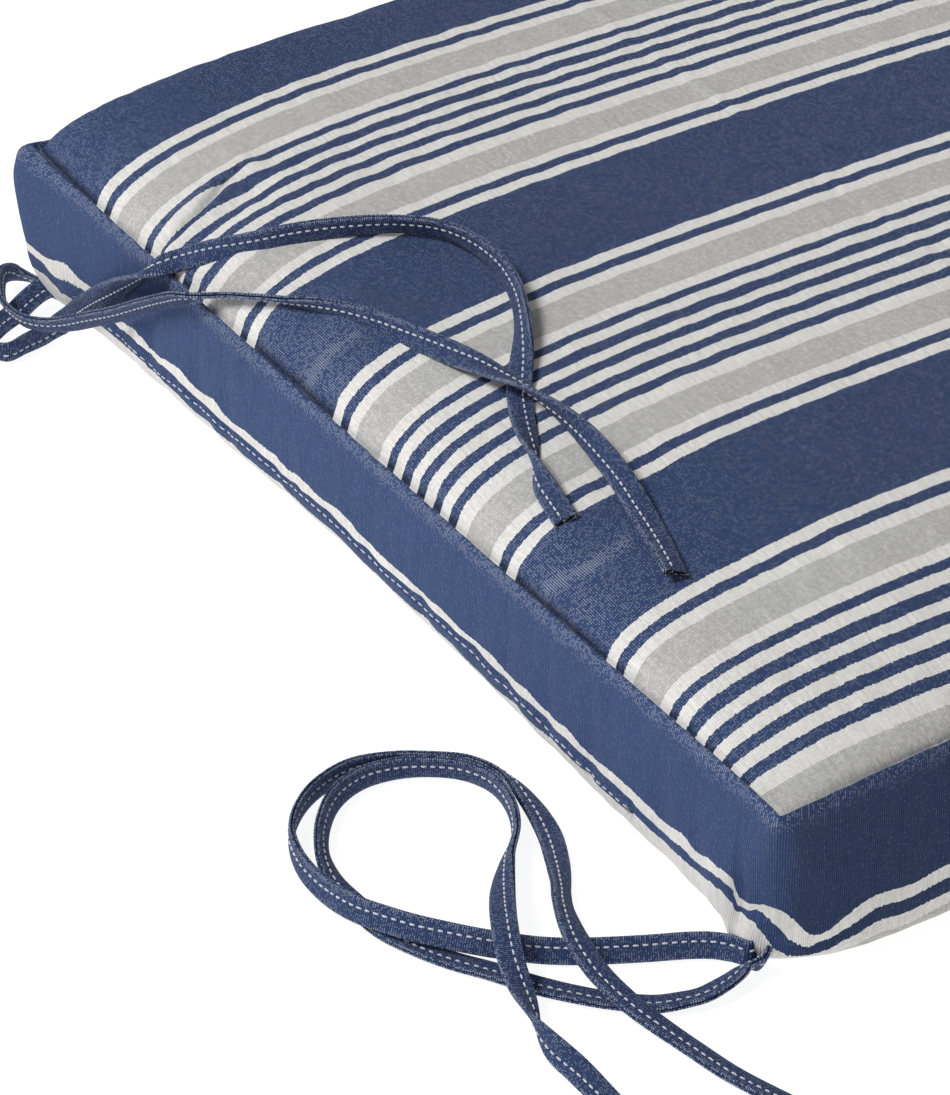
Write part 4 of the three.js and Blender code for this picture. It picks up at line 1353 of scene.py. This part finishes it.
def make_zip(cloth, thread, fray):
    ends = np.array([ZIP_FROM, ZIP_TO])
    surface, fold = flap_frame(ends), flap_heights(ends)[0]
    roots = []
    for k, x in enumerate((ZIP_FROM + ZIP_FRAYS_INSIDE, ZIP_TO - ZIP_FRAYS_INSIDE)):
        for step in range(ZIP_FRAYS):
            z = fold[k] + ZIP_FRAYS_UP + ZIP_FRAYS_STEP * step
            roots.append((x + ZIP_FRAYS_SIDE * (step % 3 - 1), surface(k, z) - ZIP_FRAYS_OUT, z))
    frays = fibres("zip_frays", roots, ZIP_FRAY_WAY, ZIP_FRAY_SPREAD, ZIP_FRAY_LENGTH,
                   ZIP_FRAY_RADIUS, ZIP_FRAY_SEED, fray)
    dress((zip_flap(cloth), zip_stitches(thread), frays), "zip_fold")


# Floor, light
FLOOR_SIZE = 6000
FLOOR_GLOW = 0.9
SUN_FROM = (-0.13, -0.60, 0.80)
SUN_STRENGTH, SUN_SIZE = 2.3, 22.0
SKY_LOW, SKY_HIGH = 0.7, 0.22


def make_floor():
    corners = [(FLOOR_SIZE * i, FLOOR_SIZE * j, 0) for i, j in ((-1, -1), (1, -1), (1, 1), (-1, 1))]
    material = plain_cloth("floor", (0.22, 0.22, 0.22))
    shader = material.node_tree.nodes["Principled BSDF"]
    shader.inputs["Emission Color"].default_value = (1, 1, 1, 1)
    shader.inputs["Emission Strength"].default_value = FLOOR_GLOW
    make_object("floor", corners, [(0, 1, 2, 3)], material, smooth=False)


def make_light():
    """Light from the tied edge's side, and a sky that is light at the horizon."""
    sun = bpy.data.lights.new("key", "SUN")
    sun.energy = SUN_STRENGTH
    sun.angle = math.radians(SUN_SIZE)
    lamp = bpy.data.objects.new("key", sun)
    lamp.rotation_euler = Vector(SUN_FROM).to_track_quat("Z", "Y").to_euler()
    bpy.context.collection.objects.link(lamp)
    world = bpy.data.worlds.new("studio")
    bpy.context.scene.world = world
    world.use_nodes = True
    nodes, links = world.node_tree.nodes, world.node_tree.links
    place = nodes.new("ShaderNodeTexCoord")
    split = nodes.new("ShaderNodeSeparateXYZ")
    links.new(place.outputs["Generated"], split.inputs[0])
    level = nodes.new("ShaderNodeMapRange")
    for socket, value in zip(level.inputs, (0.0, 0.08, 0.45, SKY_LOW, SKY_HIGH)):
        socket.default_value = value
    links.new(split.outputs[2], level.inputs[0])
    links.new(level.outputs[0], nodes["Background"].inputs["Strength"])
    nodes["Background"].inputs["Color"].default_value = (1, 1, 1, 1)
    bpy.context.scene.view_settings.view_transform = "Standard"


# The whole scene
make_camera()
navy_cloth = navy_material("navy_cloth")
tie_cloth = navy_material("tie_cloth")
# Painted shade: the inside of each tie's open end is its navy cloth given near-black
shaded_tie_inside = plain_cloth("tie_inside_shade", (0.006, 0.007, 0.012))
white_thread = thread_material("white_thread", (0.82, 0.84, 0.92))
fray_thread = thread_material("fray_thread", (0.62, 0.62, 0.62))
make_ties(tie_cloth, shaded_tie_inside, white_thread, fray_thread)
cushion, seam, whole_run = cushion_mesh(striped_material("striped_cloth"))
soften(cushion, seam)
subdivide(cushion)
lay_cloth(cushion, whole_run)
dress([cushion], "cushion")
make_zip(navy_cloth, white_thread, fray_thread)
make_floor()
make_light()
